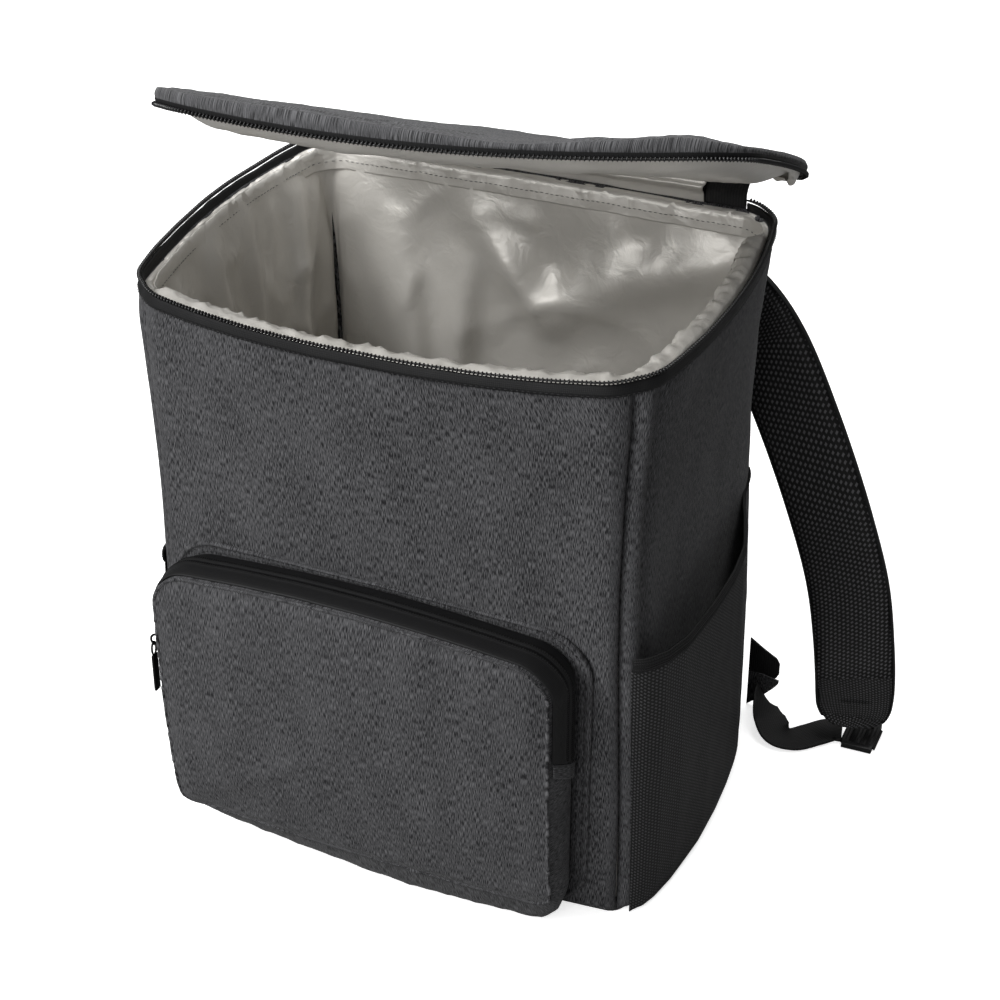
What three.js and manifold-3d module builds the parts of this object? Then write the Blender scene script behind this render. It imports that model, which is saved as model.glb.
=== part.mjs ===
// A cooler backpack that stands on its base with the lid propped open: a padded cloth box with a
// silver lining, a zipped front pocket, two mesh side pockets and two shoulder straps.
// Millimetres, +Z up, the front faces -Y. The origin is the middle of the base's underside.
import * as THREE from "three";
import { mergeVertices } from "three/addons/utils/BufferGeometryUtils.js";
import Module from "manifold-3d";

// Body
const bodyWidth = 338;
const bodyDepth = 267;
const bodyHeight = 400;
const rimCornerRadius = 29;
const frontBow = 26;
const sideBow = 15;
const backBow = 6;
const panelWall = 5;
const baseWall = 5;
const seamGap = 0.4;
const restGap = 0.5;

// Zip round the rim, and the same zip on the lid
const zipRise = 8;
const tapeWall = 1.6;
const coilRadius = 1.5;
const zipEndShare = 0.06;

// Lining
const liningWall = 1.5;
const liningClearance = 1.2;
const liningCorner = 3;
const bindingDrop = 15;
const foldDepth = 24;

// Lid
const lidDepth = 10.5;
const lidWall = 2.6;
const lidOverhang = 3;
const lidTapeRise = 3.2;
const lidPadSwell = 7;
const lidPadRoom = 3.5;
const lidCrown = 2;
const lidLift = 22.6;
const lidCurl = 2.4;
const lidTwist = 0.4;
const lidYaw = 7.5;
const lidShiftRight = 11;
const lidShiftForward = 30;
const lidShiftUp = 22;
const hingeWall = 1.6;
const zipBridgeWidth = 30;
const zipBridgeGap = 3;
const rimSliderLength = 13;
const rimSliderSize = 5.5;

// Front pocket
const pocketWidth = 292;
const pocketShiftLeft = 4;
const pocketTop = 230;
const pocketBottom = 3;
const pocketCorner = 34;
const pocketReach = 36;
const pocketArch = 8;
const flangeWidth = 12;
const flangeTopWidth = 5;
const flangeWall = 1.2;
const pocketWall = 2;
const gussetWall = 1.5;
const gussetSwell = 4;
const gussetSag = 17;
const gussetFootSoft = 2;
const faceLeftLean = 5;
const faceSpread = 2;
const faceRise = 20;
const faceTilt = 14;
const faceFootShift = 9;
const faceFootBack = 7;
const faceSwell = 6;
const pocketTapeWidth = 31;
const pocketTapeWall = 1.2;
const pocketZipEnd = 131;
const pocketZipSkew = 18;
const endTabLength = 15;
const endTabGap = 0.5;

// Pocket zip pull
const sliderHeight = 158;
const sliderPlace = 0.7;
const sliderLength = 11;
const sliderWidth = 8;
const sliderWall = 3;
const bailRise = 6.5;
const bailWall = 1.1;
const pullBar = 1.6;
const pullGap = 0.5;
const pullEyeLength = 9;
const pullLength = 37;
const pullWidth = 6.5;

// Mesh side pockets
const meshTop = 203;
const meshBottom = 1;
const meshWall = 1.5;
const meshBulge = 20;
const meshBandHeight = 9;
const meshBandWall = 2.4;
const meshEdge = 10;

// Shoulder straps and their webbing
const strapWidth = 60;
const strapThick = 11;
const strapSpread = 40;
const strapDrop = 32;
const strapTop = bodyHeight - strapDrop;
const strapReach = 213;
const strapFloor = 11.2;
const strapAhead = 34;
const strapEdgeShare = 0.45;
const webbingWidth = 25;
const webbingWall = 2;
const webbingHeight = 2.2;
const webbingAhead = 28;
const adjusterLength = 22;
const adjusterWidth = 33;
const adjusterWall = 4;
const adjusterBar = 4;
const adjusterOut = 7;
const adjusterBack = 9;
const adjusterGap = 3.5;
const tabHeight = 31;
const tabReach = 23;
const tabWall = 2.5;
const tabAhead = 8;
const tabStand = 1.7;
const anchorHeight = 28;

const cloth = { color: 0x4b4b4c, roughness: 0.9, metalness: 0 };
const lidCloth = { color: 0x565656, roughness: 0.9, metalness: 0 };
const foil = { color: 0xb4b3ae, roughness: 0.35, metalness: 0.3 };
const tapeCloth = { color: 0x1b1b1c, roughness: 0.85, metalness: 0 };
const coilPlastic = { color: 0x111112, roughness: 0.45, metalness: 0 };
const meshCloth = { color: 0x1c1c1d, roughness: 0.95, metalness: 0 };
const spacerMesh = { color: 0x202021, roughness: 0.95, metalness: 0 };
const webbing = { color: 0x161617, roughness: 0.85, metalness: 0 };
const hardPlastic = { color: 0x0f0f10, roughness: 0.4, metalness: 0 };
const blackMetal = { color: 0x19191a, roughness: 0.35, metalness: 0.8 };

// Heights of the body's sections: rise is a share of bodyHeight, the rest are shares of
// bodyWidth, bodyDepth, rimCornerRadius and the bows.
const bodySections = [
  { rise: 0.0, width: 0.99, depth: 0.992, corner: 0.5, front: 0.22, side: 0.3, back: 0.2 },
  { rise: 0.1, width: 0.989, depth: 0.994, corner: 0.45, front: 0.3, side: 0.35, back: 0.6 },
  { rise: 0.25, width: 0.98, depth: 0.99, corner: 0.38, front: 0.3, side: 0.45, back: 1.0 },
  { rise: 0.48, width: 0.962, depth: 0.986, corner: 0.42, front: 0.34, side: 0.5, back: 1.0 },
  { rise: 0.64, width: 0.958, depth: 0.986, corner: 0.42, front: 0.46, side: 0.45, back: 0.9 },
  { rise: 0.8, width: 0.966, depth: 0.988, corner: 0.46, front: 0.68, side: 0.6, back: 0.7 },
  { rise: 0.92, width: 0.988, depth: 0.995, corner: 0.62, front: 0.9, side: 0.85, back: 0.5 },
  { rise: 1.0, width: 1.0, depth: 1.0, corner: 1.0, front: 1.0, side: 1.0, back: 0.4 },
];

// Soft folds of the lining: place round the rim in sides (0 front, 1 right, 2 back, 3 left),
// height as a share of bodyHeight, then width, height, lean and depth of the fold as shares.
const liningFolds = [
  { place: 2.26, rise: 0.72, width: 0.07, height: 0.2, lean: 0.5, depth: 0.8 },
  { place: 2.5, rise: 0.5, width: 0.11, height: 0.24, lean: -0.5, depth: 1.0 },
  { place: 2.7, rise: 0.74, width: 0.07, height: 0.2, lean: 0.4, depth: 0.7 },
  { place: 1.3, rise: 0.62, width: 0.09, height: 0.22, lean: 0.2, depth: 0.5 },
  { place: 1.72, rise: 0.7, width: 0.08, height: 0.2, lean: -0.3, depth: 0.6 },
  { place: 3.3, rise: 0.66, width: 0.08, height: 0.2, lean: 0.3, depth: 0.6 },
  { place: 3.66, rise: 0.56, width: 0.1, height: 0.24, lean: -0.3, depth: 0.5 },
  { place: 0.35, rise: 0.6, width: 0.1, height: 0.2, lean: 0.2, depth: 0.4 },
];

// Dents of the lid's top: across from left to right, along from back to front, as shares.
const lidDents = [
  { across: 0.64, along: 0.8, width: 0.1, length: 0.9, depth: -3.4 },
  { across: 0.28, along: 0.9, width: 0.16, length: 0.5, depth: 3 },
  { across: 0.9, along: 0.8, width: 0.05, length: 0.6, depth: 2.5 },
  { across: 1.02, along: 0.5, width: 0.06, length: 0.9, depth: -3.4 },
];

// The right strap's centre line, from the yoke down to the floor: out is a share of strapReach,
// down a share of the drop from strapTop to strapFloor, and ahead a share of strapAhead, towards
// the front. wide is a share of strapWidth, and tip turns the strap's face upwards and outwards.
const strapLine = [
  { out: 0.0, down: 0.0, ahead: 0.0, wide: 0.8, tip: 0.0 },
  { out: 0.178, down: 0.047, ahead: -0.2, wide: 0.86, tip: 0.0 },
  { out: 0.338, down: 0.104, ahead: -0.3, wide: 0.93, tip: 0.0 },
  { out: 0.469, down: 0.158, ahead: -0.28, wide: 1.0, tip: 0.0 },
  { out: 0.563, down: 0.226, ahead: -0.25, wide: 1.0, tip: 0.0 },
  { out: 0.695, down: 0.385, ahead: -0.22, wide: 1.0, tip: 0.0 },
  { out: 0.826, down: 0.581, ahead: -0.2, wide: 1.0, tip: 0.0 },
  { out: 0.908, down: 0.725, ahead: -0.1, wide: 0.98, tip: 0.05 },
  { out: 0.953, down: 0.843, ahead: 0.1, wide: 0.95, tip: 0.15 },
  { out: 0.987, down: 0.942, ahead: 0.48, wide: 0.93, tip: 0.35 },
  { out: 1.0, down: 1.0, ahead: 0.9, wide: 0.86, tip: 0.6 },
];

// The webbing's way over the floor from the adjuster to the tab: way is a share of the straight
// way, ahead a share of webbingAhead in front of it, lift a share of tabHeight above the floor,
// and edge turns the ribbon from lying flat (0) to standing on its edge (1).
const webbingLine = [
  { way: 0.0, ahead: 0.0, lift: 0.0, edge: 0.0 },
  { way: 0.12, ahead: 0.08, lift: 0.0, edge: 0.0 },
  { way: 0.3, ahead: 0.52, lift: 0.0, edge: 0.0 },
  { way: 0.5, ahead: 0.94, lift: 0.0, edge: 0.0 },
  { way: 0.66, ahead: 0.98, lift: 0.12, edge: 0.2 },
  { way: 0.8, ahead: 0.7, lift: 0.28, edge: 0.6 },
  { way: 0.91, ahead: 0.3, lift: 0.42, edge: 0.9 },
  { way: 1.0, ahead: 0.0, lift: 0.46, edge: 1.0 },
];

// The tab and the folded webbing above it, from the seam outwards: out is a share of tabReach,
// the rest are shares of each piece's own height at the seam.
const tabRows = [
  { out: 0.0, tabLow: 0.0, tabHigh: 1.0, foldLow: 0.0, foldHigh: 1.0 },
  { out: 0.45, tabLow: 0.3, tabHigh: 0.95, foldLow: -0.03, foldHigh: 0.75 },
  { out: 0.9, tabLow: 0.68, tabHigh: 0.88, foldLow: -0.1, foldHigh: 0.52 },
  { out: 1.0, tabLow: 0.8, tabHigh: 0.86, foldLow: 0.06, foldHigh: 0.36 },
];

const part = new THREE.Group();

// Adds one closed mesh to the part.
function addPiece(name, geometry, finish, parent = part) {
  const mesh = new THREE.Mesh(geometry, new THREE.MeshStandardMaterial(finish));
  mesh.name = name;
  parent.add(mesh);
  return mesh;
}

// A closed surface from points and triangles, turned so that its faces point outwards.
function closedGeometry(points, triangles) {
  let volume = 0;
  const [a, b, c] = [new THREE.Vector3(), new THREE.Vector3(), new THREE.Vector3()];
  for (const [i, j, k] of triangles) {
    volume += a.set(...points[i]).dot(b.set(...points[j]).cross(c.set(...points[k])));
  }
  const faces = volume < 0 ? triangles.map(([i, j, k]) => [i, k, j]) : triangles;
  const geometry = new THREE.BufferGeometry();
  geometry.setAttribute("position", new THREE.Float32BufferAttribute(points.flat(), 3));
  geometry.setIndex(faces.flat());
  geometry.computeVertexNormals();
  return geometry;
}

// A wall between two grids of points, closed along its edges, or round in i if it is a ring.
function slab(outer, inner, ring = false) {
  const across = outer.length;
  const along = outer[0].length;
  const points = [...outer.flat(), ...inner.flat()];
  const at = (layer, i, k) => layer * across * along + (i % across) * along + k;
  const triangles = [];
  const quad = (p, q, r, s) => triangles.push([p, q, r], [p, r, s]);
  const last = ring ? across : across - 1;
  for (let i = 0; i < last; i++) {
    for (let k = 0; k < along - 1; k++) {
      quad(at(0, i, k), at(0, i + 1, k), at(0, i + 1, k + 1), at(0, i, k + 1));
      quad(at(1, i, k), at(1, i, k + 1), at(1, i + 1, k + 1), at(1, i + 1, k));
    }
    quad(at(0, i, 0), at(1, i, 0), at(1, i + 1, 0), at(0, i + 1, 0));
    quad(at(0, i, along - 1), at(0, i + 1, along - 1), at(1, i + 1, along - 1), at(1, i, along - 1));
  }
  if (!ring) {
    for (let k = 0; k < along - 1; k++) {
      quad(at(0, 0, k), at(0, 0, k + 1), at(1, 0, k + 1), at(1, 0, k));
      const end = across - 1;
      quad(at(0, end, k), at(1, end, k), at(1, end, k + 1), at(0, end, k + 1));
    }
  }
  return closedGeometry(points, triangles);
}

// A disc or cup between two stacks of rings that share their first edge and close on a centre.
function dish(outerRings, outerCentre, innerRings, innerCentre) {
  const count = outerRings[0].length;
  const points = [...outerRings.flat(), outerCentre, ...innerRings.flat(), innerCentre];
  const innerStart = outerRings.length * count + 1;
  const triangles = [];
  const side = (start, rings, turn) => {
    const face = (i, j, k) => triangles.push(turn ? [i, k, j] : [i, j, k]);
    for (let n = 0; n < count; n++) {
      const next = (n + 1) % count;
      for (let level = 0; level < rings - 1; level++) {
        const low = start + level * count;
        face(low + n, low + next, low + count + next);
        face(low + n, low + count + next, low + count + n);
      }
      const edge = start + (rings - 1) * count;
      face(edge + n, edge + next, start + rings * count);
    }
  };
  side(0, outerRings.length, false);
  side(innerStart, innerRings.length, true);
  for (let n = 0; n < count; n++) {
    const next = (n + 1) % count;
    triangles.push([n, innerStart + n, innerStart + next], [n, innerStart + next, next]);
  }
  return closedGeometry(points, triangles);
}

// The row of a table at a given value of its first column, worked out between its rows.
function between(table, column, value) {
  const last = table.length - 1;
  let low = 0;
  while (low < last - 1 && table[low + 1][column] < value) low++;
  const [a, b] = [table[low], table[low + 1]];
  const share = (value - a[column]) / (b[column] - a[column]);
  return Object.fromEntries(Object.keys(a).map((key) => [key, a[key] + (b[key] - a[key]) * share]));
}

// An outline of four sides with round corners and bowed sides. q runs from 0 to 4, one unit a
// side, and each whole number is the middle of a corner, where two panels are sewn together.
const cornerShare = 0.08;
const sideAxes = [
  [1, 0, 0, -1],
  [0, 1, 1, 0],
  [-1, 0, 0, 1],
  [0, -1, -1, 0],
];

function outlinePoint(shape, q) {
  const side = ((Math.floor(q) % 4) + 4) % 4;
  const t = q - Math.floor(q);
  const half = side % 2 === 0 ? shape.across : shape.along;
  const off = side % 2 === 0 ? shape.along : shape.across;
  const straight = half - shape.corner;
  let u = straight * ((2 * (t - cornerShare)) / (1 - 2 * cornerShare) - 1);
  let v = off;
  const intoCorner = Math.max(cornerShare - t, t - 1 + cornerShare) / cornerShare;
  if (intoCorner > 0) {
    const angle = (intoCorner * Math.PI) / 4;
    u = Math.sign(t - 0.5) * (straight + shape.corner * Math.sin(angle));
    v = off - shape.corner * (1 - Math.cos(angle));
  }
  const seam = half - shape.corner * (1 - Math.SQRT1_2);
  v += shape.bows[side] * Math.max(0, 1 - (u / seam) ** 2);
  const [alongX, alongY, outX, outY] = sideAxes[side];
  return [alongX * u + outX * v, alongY * u + outY * v];
}

// The places round an outline where a mesh has points, with a few spans on each side.
function marks(from, to, spans) {
  const stops = [];
  for (let side = Math.floor(from); side <= to; side++) {
    stops.push(side, side + cornerShare / 2);
    for (let i = 0; i <= spans; i++) {
      stops.push(side + cornerShare + (i / spans) * (1 - 2 * cornerShare));
    }
    stops.push(side + 1 - cornerShare / 2);
  }
  const near = cornerShare / 8;
  return [from, ...stops.filter((q) => q > from + near && q < to - near), to];
}

const ringMarks = (spans) => marks(0, 4, spans).slice(0, -1);

// The body's outline at a height, moved inwards by inset.
function bodyShape(z, inset) {
  const row = between(bodySections, "rise", z / bodyHeight);
  return {
    across: (bodyWidth / 2) * row.width - inset,
    along: (bodyDepth / 2) * row.depth - inset,
    corner: Math.max(rimCornerRadius * row.corner - inset, liningCorner),
    bows: [frontBow * row.front, sideBow * row.side, backBow * row.back, sideBow * row.side],
  };
}

function bodyPoint(q, z, inset) {
  return [...outlinePoint(bodyShape(z, inset), q), z];
}

// How far the front panel's outside lies in front of the middle, at a place on it.
function frontAt(x, z) {
  const shape = bodyShape(z, 0);
  const seam = shape.across - shape.corner * (1 - Math.SQRT1_2);
  return shape.along + shape.bows[0] * Math.max(0, 1 - (x / seam) ** 2);
}

const panelTop = bodyHeight - zipRise;
const panelFoot = baseWall + seamGap;

function addBody() {
  const inside = bodySections.map((row) => row.rise * bodyHeight);
  const heights = [panelFoot, ...inside.filter((z) => z > panelFoot && z < panelTop), panelTop];
  const spans = { front_panel: 9, right_panel: 8, back_panel: 7, left_panel: 8 };
  Object.entries(spans).forEach(([name, count], side) => {
    const wall = (inset) =>
      marks(side, side + 1, count).map((q) =>
        heights.map((z) => {
          const arc = (bodyShape(z, panelWall).corner * Math.PI) / 4;
          const slit = (cornerShare * seamGap) / 2 / arc;
          const place = Math.min(Math.max(q, side + slit), side + 1 - slit);
          return bodyPoint(place, z, inset);
        }),
      );
    addPiece(name, slab(wall(0), wall(panelWall)), cloth);
  });
  const ring = (z) => ringMarks(6).map((q) => [...bodyPoint(q, 0, 0).slice(0, 2), z]);
  addPiece("base_panel", dish([ring(baseWall)], [0, 0, baseWall], [ring(0)], [0, 0, 0]), cloth);
}

// The lining hangs inside the panels in soft folds and is open at the rim.
function foldAt(q, z) {
  return liningFolds.reduce((sum, fold) => {
    const up = z / bodyHeight - fold.rise;
    const along = q - fold.place - fold.lean * up;
    const size = (along / fold.width) ** 2 + (up / fold.height) ** 2;
    return sum + foldDepth * fold.depth * Math.exp(-size);
  }, 0);
}

function addLining() {
  const inset = panelWall + liningClearance;
  const top = panelTop - restGap;
  const floor = baseWall + liningClearance;
  const fixed = top - bindingDrop - restGap;
  const heights = [top, fixed, ...[0.86, 0.74, 0.62, 0.48, 0.3, 0.14].map((share) => top * share)];
  const round = ringMarks(11);
  const place = (q, z, extra) => {
    const seam = Math.sin((q % 1) * Math.PI) ** 0.5;
    const fold = z < fixed ? foldAt(q, z) * seam : 0;
    return bodyPoint(q, z, inset + extra + fold);
  };
  const rings = (extra) => [
    ...heights.map((z) => round.map((q) => place(q, z, extra))),
    round.map((q) => bodyPoint(q, floor + extra, inset + extra)),
  ];
  const cup = dish(rings(0), [0, 0, floor], rings(liningWall), [0, 0, floor + liningWall]);
  addPiece("lining", cup, foil);
  const lip = inset + liningWall + restGap;
  const tape = tapeWall + restGap;
  const leg = top - bindingDrop;
  const band = (points) =>
    ringMarks(9).map((q) => points.map(([edge, z]) => bodyPoint(q, z, edge)));
  const under = panelTop + restGap;
  const over = under + liningWall;
  const outer = band([[tape, under], [lip, under], [lip, leg]]);
  const inner = band([[tape, over], [lip + liningWall, over], [lip + liningWall, leg]]);
  addPiece("lining_binding", slab(outer, inner, true), foil);
}

// The zip tape and coil run along the front and both sides and end on the back.
const zipFrom = -1 - zipEndShare;
const zipTo = 2 + zipEndShare;

// A square bead along a row of places. place gives the point for a place, how far in from the
// outline it is and how high it is.
function bead(places, place, inset, height, radius) {
  const section = [
    [0, -radius],
    [radius, 0],
    [0, radius],
    [-radius, 0],
  ];
  const points = places.flatMap((q) => section.map(([i, h]) => place(q, inset + i, height + h)));
  const triangles = [];
  const end = (places.length - 1) * section.length;
  for (let start = 0; start < end; start += section.length) {
    section.forEach((_, n) => {
      const [p, q] = [start + n, start + ((n + 1) % section.length)];
      triangles.push([p, q, q + section.length], [p, q + section.length, p + section.length]);
    });
  }
  triangles.push([0, 2, 1], [0, 3, 2], [end, end + 1, end + 2], [end, end + 2, end + 3]);
  return closedGeometry(points, triangles);
}

function addRimZip() {
  const places = marks(zipFrom, zipTo, 8);
  const foot = panelTop + seamGap;
  const coilTop = bodyHeight - coilRadius;
  const tapeTop = coilTop - coilRadius - seamGap;
  const wall = (inset) => places.map((q) => [foot, tapeTop].map((z) => bodyPoint(q, z, inset)));
  addPiece("rim_zip_tape", slab(wall(0), wall(tapeWall)), tapeCloth);
  const coil = bead(places, (q, i, z) => bodyPoint(q, z, i), tapeWall / 2, coilTop, coilRadius);
  addPiece("rim_zip_coil", coil, coilPlastic);
}

// The lid in its own frame, shut: q round its edge, inset from the edge and height above the
// zip. lidPlace turns that to where the propped lid is.
const lidHinge = bodyDepth / 2;

function lidPlace([x, y, w]) {
  const across = (2 * x) / (bodyWidth + 2 * lidOverhang);
  const lift = THREE.MathUtils.degToRad(lidLift + lidCurl * across ** 2 + lidTwist * across);
  const forward = lidHinge - y;
  const back = -forward * Math.cos(lift) + w * Math.sin(lift);
  const up = forward * Math.sin(lift) + w * Math.cos(lift);
  const yaw = THREE.MathUtils.degToRad(lidYaw);
  return [
    x * Math.cos(yaw) - back * Math.sin(yaw) + lidShiftRight,
    lidHinge + x * Math.sin(yaw) + back * Math.cos(yaw) - lidShiftForward,
    bodyHeight + lidShiftUp + up,
  ];
}

function lidShape(inset) {
  const rim = bodyShape(bodyHeight, 0);
  return {
    across: rim.across + lidOverhang - inset,
    along: rim.along - inset,
    corner: Math.max(rim.corner - inset, liningCorner),
    bows: rim.bows,
  };
}

function lidPoint(q, inset, w) {
  return lidPlace([...outlinePoint(lidShape(inset), q), w]);
}

function lidDentAt(x, y) {
  const across = x / bodyWidth + 0.5;
  const along = (lidHinge - y) / bodyDepth;
  return lidDents.reduce((sum, dent) => {
    const size = ((across - dent.across) / dent.width) ** 2 + ((along - dent.along) / dent.length) ** 2;
    return sum + dent.depth * Math.exp(-size);
  }, 0);
}

// The rings of the lid's top, from its edge to its middle: inset is a share of the way from the
// edge to the middle, and lift a share of the crown.
const lidRings = [
  { inset: 0, lift: 0 },
  { inset: 0.08, lift: 0.6 },
  { inset: 0.3, lift: 1 },
  { inset: 0.62, lift: 1 },
];
const lidBandFoot = lidTapeRise + seamGap;
const lidBandTop = lidDepth - lidWall - seamGap;

function addLid() {
  const round = ringMarks(8);
  const band = (inset) =>
    round.map((q) => {
      const [x, y] = outlinePoint(lidShape(0), q);
      const top = Math.max(lidBandTop + lidDentAt(x, y), lidBandFoot + seamGap);
      return [lidBandFoot, top].map((w) => lidPoint(q, inset, w));
    });
  addPiece("lid_band", slab(band(0), band(lidWall), true), lidCloth);
  const sheet = (row, thick) =>
    round.map((q) => {
      const [x, y] = outlinePoint(lidShape(row.inset * lidHinge), q);
      const [edgeX, edgeY] = outlinePoint(lidShape(0), q);
      const dent = lidDentAt(edgeX, edgeY) + (lidDentAt(x, y) - lidDentAt(edgeX, edgeY)) * row.lift;
      const foot = Math.max(lidBandTop + dent, lidBandFoot + seamGap) + seamGap;
      return lidPlace([x, y, foot + thick + lidCrown * row.lift]);
    });
  const above = lidRings.map((row) => sheet(row, lidWall));
  const below = lidRings.map((row) => sheet(row, 0));
  const middle = (thick) => lidPlace([0, 0, lidBandTop + lidDentAt(0, 0) + thick + lidCrown]);
  addPiece("lid_top", dish(above, middle(lidWall), below, middle(0)), lidCloth);
  const places = marks(zipFrom, zipTo, 8);
  const tape = (inset) =>
    places.map((q) => [coilRadius + seamGap, lidTapeRise].map((w) => lidPoint(q, inset, w)));
  addPiece("lid_zip_tape", slab(tape(0), tape(tapeWall)), tapeCloth);
  const coil = bead(places, lidPoint, tapeWall / 2, 0, coilRadius);
  addPiece("lid_zip_coil", coil, coilPlastic);
  addLidPad(round);
}

// The padded silver lining under the lid, which swells below the zip.
function addLidPad(round) {
  const edge = lidWall + restGap;
  const ring = (inset, w) => round.map((q) => lidPoint(q, inset, w));
  const top = lidBandTop - lidPadRoom;
  const under = [
    ring(edge, 0),
    ring(edge + lidPadSwell, -lidPadSwell),
    ring(edge + lidHinge / 2, -lidPadSwell),
  ];
  const flat = [ring(edge, top)];
  const centre = (w) => lidPlace([0, 0, w]);
  addPiece("lid_pad", dish(under, centre(-lidPadSwell), flat, centre(top)), foil);
}

// How cloth goes from the back panel's top edge to the lid: straight up first, then forwards.
const hingeLine = [
  { up: 0, ahead: 0 },
  { up: 0.3, ahead: 0 },
  { up: 0.7, ahead: 0.35 },
  { up: 1, ahead: 1 },
];

// Cloth between the back panel and the lid. from and to are places on the back.
function hingeCloth(from, to, spans) {
  const places = Array.from({ length: spans + 1 }, (_, i) => from + ((to - from) * i) / spans);
  const grid = (inset) =>
    places.map((q) => {
      const low = bodyPoint(q, panelTop + seamGap, inset);
      const high = lidPoint(q, 0, lidTapeRise - inset);
      const mix = (axis, share) => low[axis] + (high[axis] - low[axis]) * share;
      return hingeLine.map((row) => [mix(0, row.ahead), mix(1, row.ahead), mix(2, row.up)]);
    });
  return slab(grid(0), grid(hingeWall));
}

// The coil's ends are joined to the lid's by short bridges of tape on both sides of the hinge.
function addHinge() {
  const bridge = zipBridgeWidth / bodyWidth;
  const slit = seamGap / bodyWidth;
  const right = zipTo + zipBridgeGap / bodyWidth;
  const left = 3 - zipEndShare - zipBridgeGap / bodyWidth;
  addPiece("hinge_cloth", hingeCloth(right + bridge, left - bridge, 6), cloth);
  addPiece("zip_bridge_right", hingeCloth(right, right + bridge - 2 * slit, 1), tapeCloth);
  addPiece("zip_bridge_left", hingeCloth(left - bridge + 2 * slit, left, 1), tapeCloth);
}

// Front pocket
const pocketMiddle = (pocketTop + pocketBottom) / 2;
const archMiddle = -0.13;

function pocketShape(inset) {
  return {
    across: pocketWidth / 2 - inset,
    along: (pocketTop - pocketBottom) / 2 - inset,
    corner: Math.max(pocketCorner - inset, liningCorner),
    bows: [0, 0, 0, 0],
  };
}

// A place on the pocket's outline: its x and z, and how high it is from the foot (0) to the top
// (1). The top is arched, and highest a little left of the middle.
function pocketOutline(q, inset) {
  const [x, high] = outlinePoint(pocketShape(inset), q);
  const rise = (high + pocketMiddle - pocketBottom) / (pocketTop - pocketBottom);
  const arch = pocketArch * rise ** 2 * (x / pocketWidth - archMiddle) ** 2 * 4;
  return { x: x - pocketShiftLeft, z: high + pocketMiddle - arch, rise };
}

// The flange is narrow along the pocket's top, where the gusset stands up in front of it.
function flangeAt(q) {
  const top = Math.max(0, Math.sin((q - 2) * Math.PI)) * (q > 2 && q < 3 ? 1 : 0);
  return flangeWidth - (flangeWidth - flangeTopWidth) * top;
}

// A point of the gusset at a share of the way from the flange (0) to the face (1), moved
// outwards by lift. Near the floor the gusset sags, comes softly to rest on the floor, and the
// face hangs further back.
function gussetPoint(q, share, lift) {
  const swell = gussetSwell * Math.sin(share * Math.PI) + faceSpread * share;
  const { x, z, rise } = pocketOutline(q, flangeAt(q) - lift - swell);
  const foot = Math.max(0, 1 - rise) ** 3;
  const low = Math.max(0, 1 - rise * 4) ** 2;
  const front = frontAt(x, z) + restGap + flangeWall;
  const reach = share * (pocketReach - faceFootBack * low);
  const narrow = (-x / pocketWidth) * faceFootShift;
  const side = share * ((faceFootShift + narrow) * foot - faceLeftLean);
  const left = 0.5 - x / pocketWidth;
  const rest = (faceRise + faceTilt * left) * share ** 2;
  const sag = gussetSag * Math.min(1, Math.max(0, (0.92 - left) * 2)) * Math.sin(share * Math.PI);
  const up = low * (rest - sag);
  const floor = restGap - Math.min(lift, 0);
  const above = z + up - floor;
  const height = floor + (above + Math.hypot(above, gussetFootSoft)) / 2;
  return [x + side, -(front + reach), height];
}

// A ring of columns moved squarely inwards by thick.
function setIn(columns, thick) {
  const last = columns[0].length - 1;
  const at = (i, k) => new THREE.Vector3(...columns[(i + columns.length) % columns.length][k]);
  return columns.map((column, i) =>
    column.map((_, k) => {
      const around = at(i + 1, k).sub(at(i - 1, k));
      const along = at(i, Math.min(k + 1, last)).sub(at(i, Math.max(k - 1, 0)));
      return at(i, k).addScaledVector(along.cross(around).normalize(), thick).toArray();
    }),
  );
}

function addPocket() {
  const round = ringMarks(6);
  const flange = (lift) =>
    round.map((q) =>
      [0, flangeAt(q)].map((inset) => {
        const { x, z } = pocketOutline(q, inset);
        return [x, -(frontAt(x, z) + restGap + lift), z];
      }),
    );
  addPiece("pocket_flange", slab(flange(flangeWall), flange(0), true), cloth);
  const back = pocketWall + seamGap;
  const outer = round.map((q) => {
    const [x, y, z] = gussetPoint(q, 1, 0);
    return [...[0, 0.25, 0.5, 0.75].map((share) => gussetPoint(q, share, 0)), [x, y + back, z]];
  });
  addPiece("pocket_gusset", slab(outer, setIn(outer, gussetWall), true), cloth);
  addPocketFace(round);
  addPocketZip();
}

// The face swells a little: inset is a share of the way to its middle, swell a share of faceSwell.
const faceRings = [
  { inset: 0, swell: 0 },
  { inset: 0.1, swell: 0.5 },
  { inset: 0.5, swell: 1 },
];

function addPocketFace(round) {
  const edge = round.map((q) => gussetPoint(q, 1, 0));
  const middle = [-pocketShiftLeft - faceLeftLean, gussetPoint(2.5, 1, 0)[1], pocketMiddle];
  const ring = (row, back) =>
    edge.map((point) => {
      const [x, y, z] = point.map((value, axis) => value + (middle[axis] - value) * row.inset);
      return [x, y - faceSwell * row.swell + back, z];
    });
  const front = faceRings.map((row) => ring(row, 0));
  const inner = faceRings.map((row) => ring(row, pocketWall));
  const tip = (back) => [middle[0], middle[1] - faceSwell + back, middle[2]];
  addPiece("pocket_face", dish(front, tip(0), inner, tip(pocketWall)), cloth);
}

// The place down one side of the pocket where its outline is at a height.
function placeAt(side, z) {
  const shape = pocketShape(flangeWidth);
  const straight = shape.along - shape.corner;
  const share = (z - pocketMiddle) / straight;
  const t = cornerShare + ((1 + share) / 2) * (1 - 2 * cornerShare);
  return side === 1 ? 1 + t : 4 - t;
}

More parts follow.
